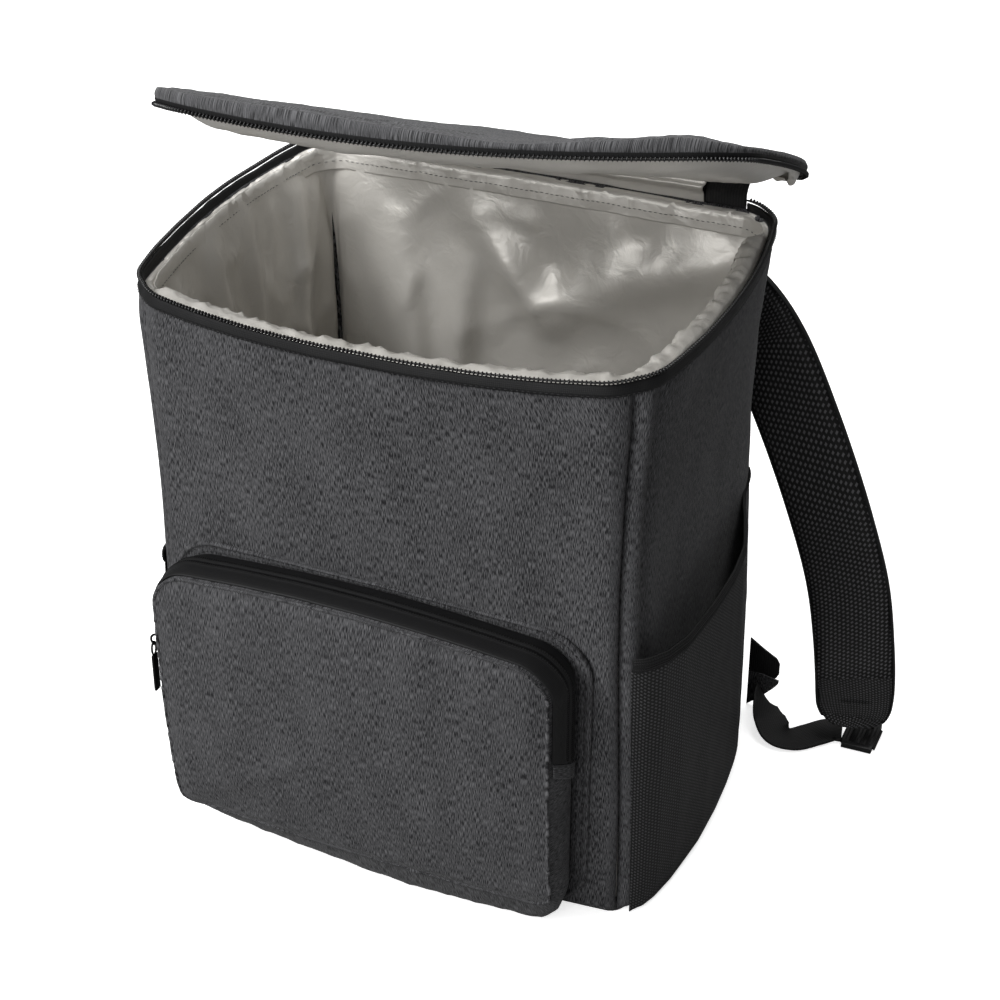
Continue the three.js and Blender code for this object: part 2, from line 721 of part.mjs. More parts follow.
// The zip ends higher at the face than at the flange on the right.
function addPocketZip() {
  const from = placeAt(1, pocketZipEnd);
  const to = placeAt(3, pocketZipEnd);
  const gap = to - placeAt(3, pocketZipEnd + endTabGap);
  const skew = placeAt(1, pocketZipEnd + pocketZipSkew) - from;
  const turned = (q, share) => (q < 2 ? q + (skew * share * (2 - q)) / (2 - from) : q);
  const lift = restGap + pocketTapeWall;
  const start = (1 - pocketTapeWidth / pocketReach) / 2;
  const shares = [0, 0.25, 0.5, 0.75, 1].map((share) => start + share * (1 - 2 * start));
  const strip = (places, up) =>
    places.map((q) => shares.map((share) => gussetPoint(turned(q, share), share, up)));
  const sheet = (places) => slab(strip(places, lift), strip(places, restGap));
  addPiece("pocket_zip_tape", sheet(marks(from, to, 6)), tapeCloth);
  const tabFoot = pocketZipEnd - endTabLength;
  addPiece("pocket_end_tab_right", sheet([placeAt(1, tabFoot), from - gap]), cloth);
  addPiece("pocket_end_tab_left", sheet([to + gap, placeAt(3, tabFoot)]), cloth);
}

// A box with its middle at a point.
function block(width, depth, height, x, y, z) {
  return new THREE.BoxGeometry(width, depth, height).translate(x, y, z);
}

// Boxes that share faces or overlap are joined into one solid.
const wasm = await Module();
wasm.setup();

function solid(geometry) {
  const bare = geometry.clone();
  bare.deleteAttribute("normal");
  bare.deleteAttribute("uv");
  const merged = mergeVertices(bare);
  const mesh = new wasm.Mesh({
    numProp: 3,
    vertProperties: merged.attributes.position.array,
    triVerts: new Uint32Array(merged.index.array),
  });
  return new wasm.Manifold(mesh);
}

function geometryOf(body) {
  const mesh = body.getMesh();
  const geometry = new THREE.BufferGeometry();
  geometry.setAttribute("position", new THREE.Float32BufferAttribute(mesh.vertProperties, 3));
  geometry.setIndex(new THREE.Uint32BufferAttribute(mesh.triVerts, 1));
  geometry.computeVertexNormals();
  return geometry;
}

const joined = (pieces) => geometryOf(pieces.map(solid).reduce((sum, next) => sum.add(next)));

// The slider on the left of the pocket, and the pull whose eye hangs in the slider's bail.
// The group's own -X points out of the bag, and its origin is the middle of the eye's bar.
function addPull() {
  const place = placeAt(3, sliderHeight);
  const [x, y, z] = gussetPoint(place, sliderPlace, restGap + pocketTapeWall + pullGap);
  const reach = sliderWall + bailRise;
  const rise = reach - bailWall - pullGap - pullBar / 2;
  const postAt = (sliderLength - bailWall) / 2;
  const hang = postAt - bailWall / 2 - pullGap - pullBar / 2;
  const hinge = new THREE.Group();
  hinge.position.set(x - rise, y, z - hang);
  part.add(hinge);
  const body = block(sliderWall, sliderWidth, sliderLength, rise - sliderWall / 2, 0, hang);
  const post = (at) =>
    block(bailRise, bailWall * 2, bailWall, rise - reach + bailRise / 2, 0, hang + at);
  const bridge = block(bailWall, bailWall * 2, sliderLength, rise - reach + bailWall / 2, 0, hang);
  const slider = joined([body, post(postAt), post(-postAt), bridge]);
  addPiece("pocket_slider", slider, blackMetal, hinge);
  const armAt = (pullWidth - pullBar) / 2;
  const arm = (side) => block(pullBar, pullBar, pullEyeLength, 0, side * armAt, -pullEyeLength / 2);
  const gripLength = pullLength - pullEyeLength;
  const grip = block(pullBar, pullWidth, gripLength, 0, 0, -pullEyeLength - gripLength / 2);
  const bar = block(pullBar, pullWidth, pullBar, 0, 0, 0);
  addPiece("pocket_pull", joined([bar, arm(1), arm(-1), grip]), blackMetal, hinge);
}

// The mesh pocket's stand off the panel: along runs from the front seam to the back seam, top
// and foot are shares of meshBulge at the band and at the floor.
const meshPlaces = [
  { along: 0, top: 0, foot: 0 },
  { along: 0.046, top: 0.34, foot: 0.32 },
  { along: 0.09, top: 0.68, foot: 0.52 },
  { along: 0.17, top: 0.92, foot: 0.72 },
  { along: 0.34, top: 1, foot: 0.92 },
  { along: 0.48, top: 1, foot: 0.92 },
  { along: 0.6, top: 0.86, foot: 0.84 },
  { along: 0.7, top: 0.5, foot: 0.7 },
  { along: 0.79, top: 0.2, foot: 0.42 },
  { along: 0.87, top: 0.05, foot: 0.12 },
  { along: 0.954, top: 0.01, foot: 0.01 },
  { along: 1, top: 0, foot: 0 },
];

// Heights of the mesh pocket as shares of its own height, with the share of the stand there.
const meshRows = [
  { rise: 0.0, stand: 0.1 },
  { rise: 0.012, stand: 0.8 },
  { rise: 0.08, stand: 0.95 },
  { rise: 0.35, stand: 1.0 },
  { rise: 0.7, stand: 1.0 },
  { rise: 1.0, stand: 1.0 },
];

function meshPoint(side, place, z, stand, lift) {
  const share = z / meshTop;
  const full = place.foot + (place.top - place.foot) * share;
  const edge = meshEdge / bodyDepth;
  const t = edge + place.along * (1 - 2 * edge);
  const q = side === 1 ? side + t : side + 1 - t;
  return bodyPoint(q, z, -(restGap + lift + meshBulge * stand * full));
}

// Mesh pocket on one side of the body: side is 1 for the right and 3 for the left.
function addMeshPocket(name, side) {
  const height = meshTop - meshBandHeight - meshBottom;
  const wall = (lift) =>
    meshPlaces.map((place) =>
      meshRows.map((row) => meshPoint(side, place, meshBottom + row.rise * height, row.stand, lift)),
    );
  addPiece(name, slab(wall(meshWall), wall(0)), meshCloth);
  const foot = meshTop - meshBandHeight + seamGap;
  const band = (lift) =>
    meshPlaces.map((place) => [foot, meshTop].map((z) => meshPoint(side, place, z, 1, lift)));
  addPiece(name + "_band", slab(band(meshBandWall), band(0)), webbing);
}

// A flat ribbon along a line of points, with the way its face looks and its width at each
// point. edge is the ribbon's thickness at its edges, as a share of thick.
function ribbonRows(points, looks, widths, thick, steps, edge) {
  const curve = new THREE.CatmullRomCurve3(points, false, "centripetal");
  const faces = new THREE.CatmullRomCurve3(looks, false, "centripetal");
  const across = edge < 1 ? [-1, -0.7, 0.7, 1] : [-1, 1];
  const rows = { front: [], back: [] };
  for (let i = 0; i <= steps; i++) {
    const t = i / steps;
    const at = t * (widths.length - 1);
    const low = Math.min(Math.floor(at), widths.length - 2);
    const width = widths[low] + (widths[low + 1] - widths[low]) * (at - low);
    const along = curve.getTangent(t);
    const look = faces.getPoint(t);
    look.addScaledVector(along, -look.dot(along)).normalize();
    const side = new THREE.Vector3().crossVectors(along, look);
    const row = (sign) =>
      across.map((share) => {
        const swell = (thick / 2) * (Math.abs(share) === 1 ? edge : 1);
        const point = curve.getPoint(t).addScaledVector(side, (share * width) / 2);
        return point.addScaledVector(look, sign * swell).toArray();
      });
    rows.front.push(row(1));
    rows.back.push(row(-1));
  }
  return rows;
}

const strapSteps = 22;
const webbingSteps = 16;
const strapShape = bodyShape(strapTop - strapWidth / 2, 0);
const strapRest = strapShape.along + strapShape.bows[2] + restGap + strapThick / 2;

function strapRows(hand) {
  const points = strapLine.map(
    (row) =>
      new THREE.Vector3(
        hand * (strapSpread + row.out * strapReach),
        strapRest - row.ahead * strapAhead,
        strapTop + (strapFloor - strapTop) * row.down,
      ),
  );
  const looks = strapLine.map((row) => new THREE.Vector3(hand * row.tip, -1, row.tip));
  const widths = strapLine.map((row) => row.wide * strapWidth);
  return ribbonRows(points, looks, widths, strapThick, strapSteps, strapEdgeShare);
}

const mirrored = (row) => row.map(([x, y, z]) => [-x, y, z]);

// The yoke is the padded bar between the two straps' upper ends, sewn to the back panel.
function addYoke(rows) {
  const end = (row) => row.map(([x, y, z]) => [x - seamGap, y, z]);
  const front = end(rows.front[0]);
  const back = end(rows.back[0]);
  addPiece("strap_yoke", slab([front, mirrored(front)], [back, mirrored(back)]), spacerMesh);
}

// The flat plate with two slots that holds the webbing at the strap's lower end.
function addAdjuster(name, x, y, z) {
  const [reachX, reachY] = [(adjusterLength - adjusterBar) / 2, (adjusterWidth - adjusterBar) / 2];
  const bar = (at) => block(adjusterBar, adjusterWidth, adjusterWall, at, 0, adjusterWall / 2);
  const rail = (at) => block(adjusterLength, adjusterBar, adjusterWall, 0, at, adjusterWall / 2);
  const plate = joined([bar(-reachX), bar(0), bar(reachX), rail(-reachY), rail(reachY)]);
  addPiece(name, plate, hardPlastic).position.set(x, y, z);
}

// The tab near the foot of the back seam, the webbing folded above it, and the webbing that
// runs over the floor to the adjuster.
function addLowerStrap(name, hand) {
  const strapEnd = strapSpread + strapReach;
  const adjusterY = strapRest - strapAhead + adjusterBack;
  const adjusterX = strapEnd + adjusterOut;
  addAdjuster("adjuster_" + name, hand * adjusterX, adjusterY, restGap);
  const foot = bodyShape(tabHeight / 2, 0);
  const tabX = foot.across + meshWall + tabStand;
  const tabY = foot.along - tabAhead;
  const sheet = (low, high, base, height) => (y) =>
    tabRows.map((row) => {
      const x = hand * (tabX + row.out * tabReach);
      return [[x, y, base + row[low] * height], [x, y, base + row[high] * height]];
    });
  const tab = sheet("tabLow", "tabHigh", restGap, tabHeight - restGap);
  addPiece("strap_tab_" + name, slab(tab(tabY + tabWall), tab(tabY)), cloth);
  const fold = sheet("foldLow", "foldHigh", tabHeight + restGap, anchorHeight);
  addPiece("webbing_anchor_" + name, slab(fold(tabY + webbingWall), fold(tabY)), webbing);
  const from = [adjusterX - adjusterLength / 2 - adjusterGap, adjusterY];
  const to = [tabX + tabReach / 2, tabY - webbingWall - restGap];
  const points = webbingLine.map(
    (row) =>
      new THREE.Vector3(
        hand * (from[0] + (to[0] - from[0]) * row.way),
        from[1] + (to[1] - from[1]) * row.way - row.ahead * webbingAhead,
        webbingHeight + row.lift * tabHeight,
      ),
  );
  const looks = webbingLine.map((row) => new THREE.Vector3(hand * row.edge, -row.edge, 1 - row.edge));
  const widths = webbingLine.map(() => webbingWidth);
  const rows = ribbonRows(points, looks, widths, webbingWall, webbingSteps, 1);
  addPiece("strap_webbing_" + name, slab(rows.front, rows.back), webbing);
}

function addStraps() {
  const right = strapRows(1);
  addYoke(right);
  addPiece("strap_pad_right", slab(right.front, right.back), spacerMesh);
  const [front, back] = [right.front.map(mirrored), right.back.map(mirrored)];
  addPiece("strap_pad_left", slab(front, back), spacerMesh);
  addLowerStrap("right", 1);
  addLowerStrap("left", -1);
}

// The rim's slider is parked in the back left corner, inside the tape.
function addRimSlider() {
  const cornerBow = rimSliderLength ** 2 / (8 * rimCornerRadius);
  const inset = tapeWall / 2 + coilRadius + cornerBow + restGap + rimSliderSize / 2;
  const bindingTop = panelTop + restGap + liningWall;
  const [x, y, z] = bodyPoint(3, bindingTop + restGap + rimSliderSize / 2, inset);
  const shape = new THREE.BoxGeometry(rimSliderLength, rimSliderSize, rimSliderSize);
  const slider = addPiece("rim_zip_slider", shape, blackMetal);
  slider.position.set(x, y, z);
  slider.rotation.z = Math.PI / 4;
}

addBody();
addLining();
addRimZip();
addRimSlider();
addLid();
addHinge();
addPocket();
addPull();
addMeshPocket("mesh_pocket_right", 1);
addMeshPocket("mesh_pocket_left", 3);
addStraps();

export default part;
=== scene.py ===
import math

import bmesh
import bpy
from mathutils import Matrix, Vector, noise


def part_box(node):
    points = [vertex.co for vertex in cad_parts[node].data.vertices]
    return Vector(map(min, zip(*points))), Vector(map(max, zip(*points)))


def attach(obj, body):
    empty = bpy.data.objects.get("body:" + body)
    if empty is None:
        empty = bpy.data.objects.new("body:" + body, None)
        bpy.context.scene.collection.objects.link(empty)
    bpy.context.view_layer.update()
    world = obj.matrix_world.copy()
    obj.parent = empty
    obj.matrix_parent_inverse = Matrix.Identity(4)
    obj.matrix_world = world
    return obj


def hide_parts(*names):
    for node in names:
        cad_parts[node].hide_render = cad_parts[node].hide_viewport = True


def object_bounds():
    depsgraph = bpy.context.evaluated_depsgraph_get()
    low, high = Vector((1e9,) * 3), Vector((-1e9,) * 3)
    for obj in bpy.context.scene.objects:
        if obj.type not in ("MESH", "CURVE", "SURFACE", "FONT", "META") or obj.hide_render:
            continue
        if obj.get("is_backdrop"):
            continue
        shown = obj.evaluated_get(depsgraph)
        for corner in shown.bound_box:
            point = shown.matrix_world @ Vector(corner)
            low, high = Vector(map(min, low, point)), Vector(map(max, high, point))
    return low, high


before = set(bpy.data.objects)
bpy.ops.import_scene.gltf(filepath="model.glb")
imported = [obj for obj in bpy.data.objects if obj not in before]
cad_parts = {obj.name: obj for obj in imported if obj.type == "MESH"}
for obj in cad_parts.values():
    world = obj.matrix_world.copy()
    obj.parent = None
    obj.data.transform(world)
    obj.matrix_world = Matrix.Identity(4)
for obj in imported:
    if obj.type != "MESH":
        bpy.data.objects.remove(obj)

cad_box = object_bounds()
MM = 0.001
UP = Vector((0, 0, 1))

# Camera: the photograph's place and lens, worked out from the bag's rim and corners
VIEW_AZIMUTH = math.radians(22.42)
VIEW_ELEVATION = math.radians(31.59)
VIEW_LENS = 83.77
VIEW_DISTANCE = 1577.1
VIEW_RIGHT_OF_MIDDLE = 22.68
VIEW_ABOVE_MIDDLE = 7.24
VIEW_MIDDLE = Vector((0, 0, 200))

# Body
BODY_WIDTH = 338
BODY_DEPTH = 267
BODY_HEIGHT = 400
RIM_CORNER = 29
FRONT_BOW = 26
SIDE_BOW = 15
BACK_BOW = 6
BODY_SECTIONS = [
    # share of height, width, depth, corner, front bow, side bow, back bow
    (0.0, 0.99, 0.992, 0.5, 0.22, 0.3, 0.2),
    (0.1, 0.989, 0.994, 0.45, 0.3, 0.35, 0.6),
    (0.25, 0.98, 0.99, 0.38, 0.3, 0.45, 1.0),
    (0.48, 0.962, 0.986, 0.42, 0.34, 0.5, 1.0),
    (0.64, 0.958, 0.986, 0.42, 0.46, 0.45, 0.9),
    (0.8, 0.966, 0.988, 0.46, 0.68, 0.6, 0.7),
    (0.92, 0.988, 0.995, 0.62, 0.9, 0.85, 0.5),
    (1.0, 1.0, 1.0, 1.0, 1.0, 1.0, 0.4),
]
CORNER_SHARE = 0.08
LINING_CORNER = 3
PANEL_TOP = 392
FOOT_ROUND = 6

# Lid
LID_OVERHANG = 3
LID_HINGE = BODY_DEPTH / 2
LID_LIFT = 22.6
LID_CURL = 2.4
LID_TWIST = 0.4
LID_YAW = math.radians(7.5)
LID_SHIFT = Vector((11, -30, 22))
LID_BAND_FOOT = 3.6
LID_BAND_TOP = 7.5
LID_WALL = 2.6
LID_CROWN = 2
LID_PAD_SWELL = 7
LID_MIDDLE = 6
LID_DENTS = [
    # across, along, width, length as shares, depth
    (0.64, 0.8, 0.1, 0.9, -3.4),
    (0.28, 0.9, 0.16, 0.5, 3),
    (0.9, 0.8, 0.05, 0.6, 2.5),
    (1.02, 0.5, 0.06, 0.9, -3.4),
]
ZIP_FROM = -1.06
ZIP_TO = 2.06

# Soft folds of the lining, each from one place to another: round the rim in sides and up as a
# share of the height, then its width and how far it stands in, in millimetres.
LINING_FOLDS = [
    (2.62, 0.88, 2.47, 0.72, 15, 13),
    (2.47, 0.74, 2.3, 0.82, 20, 12),
    (2.3, 0.82, 2.06, 0.9, 16, 9),
    (2.66, 0.8, 2.68, 0.5, 13, 12),
    (2.8, 0.82, 2.74, 0.4, 18, 14),
    (2.93, 0.9, 2.88, 0.45, 9, 7),
    (2.47, 0.98, 2.46, 0.8, 10, -8),
    (2.32, 0.98, 2.28, 0.88, 8, -5),
    (2.15, 0.98, 2.1, 0.9, 7, -5),
    (2.4, 0.5, 2.2, 0.3, 26, 12),
    (3.18, 0.92, 3.3, 0.45, 11, 10),
    (3.4, 0.94, 3.46, 0.5, 9, 7),
    (3.58, 0.92, 3.66, 0.4, 14, 12),
    (3.8, 0.9, 3.82, 0.5, 10, 8),
    (3.1, 0.9, 3.08, 0.5, 8, 5),
    (1.3, 0.85, 1.35, 0.4, 22, 12),
    (1.72, 0.9, 1.66, 0.45, 18, 10),
    (0.35, 0.85, 0.4, 0.3, 24, 10),
    (0.75, 0.85, 0.7, 0.4, 20, 9),
]

# Front pocket
POCKET_WIDTH = 292
POCKET_LEFT = 4
POCKET_TOP = 230
POCKET_BOTTOM = 3
POCKET_CORNER = 34
POCKET_REACH = 36
POCKET_ARCH = 8
ARCH_MIDDLE = -0.13
FLANGE_WIDTH = 12
FLANGE_TOP_WIDTH = 5
FLANGE_WALL = 1.2
GUSSET_SWELL = 4
GUSSET_SAG = 17
GUSSET_FOOT_SOFT = 2
FACE_LEFT_LEAN = 5
FACE_SPREAD = 2
FACE_RISE = 20
FACE_TILT = 14
FACE_FOOT_SHIFT = 9
FACE_FOOT_BACK = 7
FACE_SWELL = 6
REST_GAP = 0.5
TAPE_WALL = 1.2
TAPE_WIDTH = 31
ZIP_END = 131
ZIP_SKEW = 18
END_TAB_LENGTH = 15

# Mesh side pockets
MESH_TOP = 203
MESH_BOTTOM = 1
MESH_BAND = 9
MESH_BULGE = 20
MESH_EDGE = 10
MESH_PLACES = [
    # along the side, stand at the band, stand at the floor
    (0, 0, 0),
    (0.046, 0.34, 0.32),
    (0.09, 0.68, 0.52),
    (0.17, 0.92, 0.72),
    (0.34, 1, 0.92),
    (0.48, 1, 0.92),
    (0.6, 0.86, 0.84),
    (0.7, 0.5, 0.7),
    (0.79, 0.2, 0.42),
    (0.87, 0.05, 0.12),
    (0.954, 0.01, 0.01),
    (1, 0, 0),
]
MESH_ROWS = [(0.0, 0.1), (0.012, 0.8), (0.08, 0.95), (0.35, 1.0), (0.7, 1.0), (1.0, 1.0)]

# Straps
STRAP_WIDTH = 60
STRAP_THICK = 11
STRAP_SPREAD = 40
STRAP_TOP = 368
STRAP_REACH = 213
STRAP_FLOOR = 11.2
STRAP_AHEAD = 34
STRAP_LINE = [
    # out, down, ahead, wide, tip
    (0.0, 0.0, 0.0, 0.8, 0.0),
    (0.178, 0.047, -0.2, 0.86, 0.0),
    (0.338, 0.104, -0.3, 0.93, 0.0),
    (0.469, 0.158, -0.28, 1.0, 0.0),
    (0.563, 0.226, -0.25, 1.0, 0.0),
    (0.695, 0.385, -0.22, 1.0, 0.0),
    (0.826, 0.581, -0.2, 1.0, 0.0),
    (0.908, 0.725, -0.1, 0.98, 0.05),
    (0.953, 0.843, 0.1, 0.95, 0.15),
    (0.987, 0.942, 0.48, 0.93, 0.35),
    (1.0, 1.0, 0.9, 0.86, 0.6),
]
WEBBING_WIDTH = 25
WEBBING_WALL = 2
WEBBING_HEIGHT = 2.2
WEBBING_AHEAD = 28
WEBBING_LINE = [
    # way, ahead, lift, edge
    (0.0, 0.0, 0.0, 0.0),
    (0.12, 0.08, 0.0, 0.0),
    (0.3, 0.52, 0.0, 0.0),
    (0.5, 0.94, 0.0, 0.0),
    (0.66, 0.98, 0.12, 0.2),
    (0.8, 0.7, 0.28, 0.6),
    (0.91, 0.3, 0.42, 0.9),
    (1.0, 0.0, 0.46, 1.0),
]
ADJUSTER_LENGTH = 22
ADJUSTER_OUT = 7
ADJUSTER_BACK = 9
ADJUSTER_GAP = 3.5
TAB_HEIGHT = 31
TAB_REACH = 23
TAB_AHEAD = 8
TAB_STAND = 1.7
MESH_WALL = 1.5


# Colours and nodes
def linear(hex_colour):
    """An sRGB hex colour as linear red, green, blue and alpha."""
    parts = [int(hex_colour[n : n + 2], 16) / 255 for n in (1, 3, 5)]
    return (*[c / 12.92 if c <= 0.04045 else ((c + 0.055) / 1.055) ** 2.4 for c in parts], 1.0)


def add(tree, kind, settings=None, links=None):
    """Adds one shader node. settings are sockets or properties, links are sockets to sources."""
    node = tree.nodes.new("ShaderNode" + kind)
    for key, value in (settings or {}).items():
        if key == "stops":
            for element, (place, colour) in zip(node.color_ramp.elements, value):
                element.position = place
                element.color = linear(colour)
        elif isinstance(key, int) or key in node.inputs:
            node.inputs[key].default_value = value
        else:
            setattr(node, key, value)
    for key, source in (links or {}).items():
        tree.links.new(source, node.inputs[key])
    return node


def finish_of(name, shader):
    """A new material and its node tree, with the shader's uniform values set on its sockets."""
    material = bpy.data.materials.new(name)
    material.use_nodes = True
    tree = material.node_tree
    tree.nodes.clear()
    surface = add(tree, "BsdfPrincipled", shader)
    add(tree, "OutputMaterial", links={"Surface": surface.outputs["BSDF"]})
    return material, tree, surface


def coloured(tree, surface, stops, value):
    """Colours the shader by a ramp over a value."""
    tone = add(tree, "ValToRGB", {"stops": stops}, {"Fac": value})
    tree.links.new(tone.outputs["Color"], surface.inputs["Base Color"])


def raised(tree, surface, height, strength, depth, invert=False):
    """Gives the shader a relief of the given depth in millimetres."""
    relief = add(tree, "Bump", {"Strength": strength, "Distance": depth * MM, "invert": invert},
                 {"Height": height})
    tree.links.new(relief.outputs["Normal"], surface.inputs["Normal"])


def yarn_map(tree, across, along, turn=0.0):
    """The cloth's own coordinates, counted in cells of across by along millimetres."""
    place = add(tree, "TexCoord").outputs["UV"]
    scale = (1 / (across * MM), 1 / (along * MM), 1)
    if turn:
        place = add(tree, "Mapping", {"Rotation": (0, 0, turn)}, {"Vector": place}).outputs[0]
    return add(tree, "Mapping", {"Scale": scale}, {"Vector": place}).outputs["Vector"]


def melange_polyester(name, dark, light):
    """Melange polyester: plain weave of dark yarn with pale slubs, so the eye sees short upright
    streaks under 1 mm wide and about 6 mm long on a matt cloth with a faint sheen. The slubs are
    drawn half as coarse again as real ones, so that they show."""
    shader = {"Roughness": 0.88, "Specular IOR Level": 0.2, "Sheen Weight": 0.08,
              "Sheen Roughness": 0.45}
    material, tree, surface = finish_of(name, shader)
    streaks = add(tree, "TexNoise", {"Scale": 1.0, "Detail": 1.5, "Roughness": 0.5},
                  {"Vector": yarn_map(tree, 0.34, 4.6)})
    wear = add(tree, "TexNoise", {"Scale": 1.0, "Detail": 2.0}, {"Vector": yarn_map(tree, 22, 60)})
    blend = add(tree, "Mix", {"data_type": "FLOAT", 0: 0.1},
                {2: streaks.outputs["Fac"], 3: wear.outputs["Fac"]})
    coloured(tree, surface, [(0.42, dark), (0.6, light)], blend.outputs[0])
    raised(tree, surface, streaks.outputs["Fac"], 0.6, 0.4)
    return material


def foil_lining():
    """Foil-faced PEVA film: satin silver with small crinkles, so folds show as soft bright and
    dark bands."""
    shader = {"Base Color": linear("#cfccc6"), "Metallic": 0.35, "Roughness": 0.42}
    material, tree, surface = finish_of("silver PEVA film, calendered", shader)
    place = add(tree, "TexCoord").outputs["Object"]
    crinkle = add(tree, "TexNoise", {"Scale": 1 / (16 * MM), "Detail": 4.0, "Roughness": 0.55,
                                     "Distortion": 0.8}, {"Vector": place})
    raised(tree, surface, crinkle.outputs["Fac"], 0.5, 1.8)
    return material


def ribbed_cloth(name, dark, light, across, along, roughness, depth):
    """Woven tape or webbing: ribs run the length of it, crossed by the weft, matt black."""
    shader = {"Roughness": roughness, "Specular IOR Level": 0.3}
    material, tree, surface = finish_of(name, shader)
    ribs = add(tree, "TexWave", {"wave_type": "BANDS", "bands_direction": "X", "Scale": 0.3183,
                                 "Distortion": 0.4, "Detail": 1.0},
               {"Vector": yarn_map(tree, across, across)})
    weft = add(tree, "TexWave", {"wave_type": "BANDS", "bands_direction": "Y", "Scale": 0.3183,
                                 "Distortion": 0.6, "Detail": 1.0},
               {"Vector": yarn_map(tree, along, along)})
    blend = add(tree, "Mix", {"data_type": "FLOAT", 0: 0.4},
                {2: ribs.outputs["Fac"], 3: weft.outputs["Fac"]})
    coloured(tree, surface, [(0.2, dark), (0.9, light)], blend.outputs[0])
    raised(tree, surface, blend.outputs[0], 0.7, depth)
    return material


def holed_knit(name, yarn, hole_shade, cell, turn, depth, roughness):
    """Warp knit with open cells: raised black loops in slanted rows round dark holes. The loops
    are coloured lighter than their black yarn, a painted highlight, so they show as rows of short
    dashes, and the holes are painted near-black as shade; cell is a loop's length and height in
    millimetres."""
    shader = {"Roughness": roughness, "Specular IOR Level": 0.4}
    material, tree, surface = finish_of(name, shader)
    settings = {"Scale": 1.0, "Mortar Size": 0.3, "Mortar Smooth": 0.5, "Brick Width": 1.0,
                "Row Height": 1.0, "offset": 0.5}
    loops = add(tree, "TexBrick", settings, {"Vector": yarn_map(tree, *cell, turn)})
    uneven = add(tree, "TexNoise", {"Scale": 1.0, "Detail": 1.0},
                 {"Vector": yarn_map(tree, 2 * cell[0], 2 * cell[0])})
    hole_shade_mask = add(tree, "Math", {"operation": "MULTIPLY_ADD", 1: 0.36},
               {0: uneven.outputs["Fac"], 2: loops.outputs["Fac"]})
    # The loops' colour is the black yarn drawn lighter as a painted highlight; the holes' colour is
    # painted shade.
    coloured(tree, surface, [(0.2, yarn), (0.6, hole_shade)], hole_shade_mask.outputs[0])
    raised(tree, surface, loops.outputs["Fac"], 0.9, depth, invert=True)
    return material


def plain_hard(name, colour, metallic, roughness, grain):
    """Hard black fittings: an even coat with a very faint grain that breaks up the highlight."""
    shader = {"Metallic": metallic, "Roughness": roughness}
    material, tree, surface = finish_of(name, shader)
    place = add(tree, "TexCoord").outputs["Object"]
    grains = add(tree, "TexNoise", {"Scale": 1 / (grain * MM), "Detail": 2.0}, {"Vector": place})
    coloured(tree, surface, [(0.3, colour), (0.8, colour)], grains.outputs["Fac"])
    raised(tree, surface, grains.outputs["Fac"], 0.25, 0.1)
    return material


BODY_CLOTH = (melange_polyester("charcoal melange polyester, woven", "#18181a", "#5d5d5f"),
              "melange_cloth")
LID_CLOTH = (melange_polyester("charcoal melange polyester, lid", "#262627", "#626264"),
             "lid_cloth")
FOIL = (foil_lining(), "silver_lining")
ZIP_TAPE = (ribbed_cloth("polyester zip tape, woven", "#070708", "#161617", 1.1, 1.1, 0.6, 0.15),
            "zip_tape")
NYLON = (plain_hard("nylon zip coil, drawn", "#141415", 0.0, 0.24, 3.0), "zip_coil")
METAL = (plain_hard("zinc alloy, cast and coated black", "#1b1b1c", 0.75, 0.36, 4.0), "black_metal")
# Knit loop colours here are lighter than the black yarn as painted highlights, and hole colours are
# near-black as painted shade.
KNIT = (holed_knit("polyester mesh, warp knitted", "#464648", "#020202", (3.2, 2.0), 0.7, 0.5, 0.6),
        "knit_mesh")
WEBBING = (ribbed_cloth("polypropylene webbing, woven", "#060606", "#1b1b1c", 1.6, 1.3, 0.6, 0.35),
           "webbing")
SPACER = (holed_knit("spacer mesh, double knitted", "#58585a", "#030303", (4.2, 2.6), -0.6, 0.9,
                     0.7), "spacer_mesh")
FINE_SPACER = (holed_knit("fine air mesh, knitted", "#48484a", "#050505", (3.0, 2.0), 0.6, 0.6,
                          0.7), "spacer_mesh")
ACETAL = (plain_hard("acetal, moulded", "#0b0b0c", 0.0, 0.3, 5.0), "black_plastic")
THREAD = (plain_hard("polyester thread, twisted", "#232324", 0.0, 0.8, 1.0), "melange_cloth")
GREY_THREAD = (plain_hard("grey polyester thread, twisted", "#6f6f6d", 0.0, 0.7, 1.0),
               "silver_lining")


# Outlines
def between(table, value):
    """The row of a table at a value of its first column."""
    low = 0
    while low < len(table) - 2 and table[low + 1][0] < value:
        low += 1
    a, b = table[low], table[low + 1]
    share = (value - a[0]) / (b[0] - a[0])
    return [p + (q - p) * share for p, q in zip(a, b)]


def hump(value, middle, width):
    """1 at the middle, falling away softly over width on both sides."""
    return math.exp(-(((value - middle) / width) ** 2))


def smooth(share):
    """0 to 1, eased at both ends."""
    share = min(1.0, max(0.0, share))
    return share * share * (3 - 2 * share)


SIDE_AXES = [(1, 0, 0, -1), (0, 1, 1, 0), (-1, 0, 0, 1), (0, -1, -1, 0)]


def outline_point(across, along, corner, bows, q):
    """A point of a round-cornered outline; q counts sides, and whole numbers are corners."""
    side = math.floor(q) % 4
    t = q - math.floor(q)
    half, off = (across, along) if side % 2 == 0 else (along, across)
    straight = half - corner
    u = straight * (2 * (t - CORNER_SHARE) / (1 - 2 * CORNER_SHARE) - 1)
    v = off
    into = max(CORNER_SHARE - t, t - 1 + CORNER_SHARE) / CORNER_SHARE
    if into > 0:
        angle = into * math.pi / 4
        u = math.copysign(straight + corner * math.sin(angle), t - 0.5)
        v = off - corner * (1 - math.cos(angle))
    seam = half - corner * (1 - math.sqrt(0.5))
    v += bows[side] * max(0.0, 1 - (u / seam) ** 2)
    along_x, along_y, out_x, out_y = SIDE_AXES[side]
    return along_x * u + out_x * v, along_y * u + out_y * v


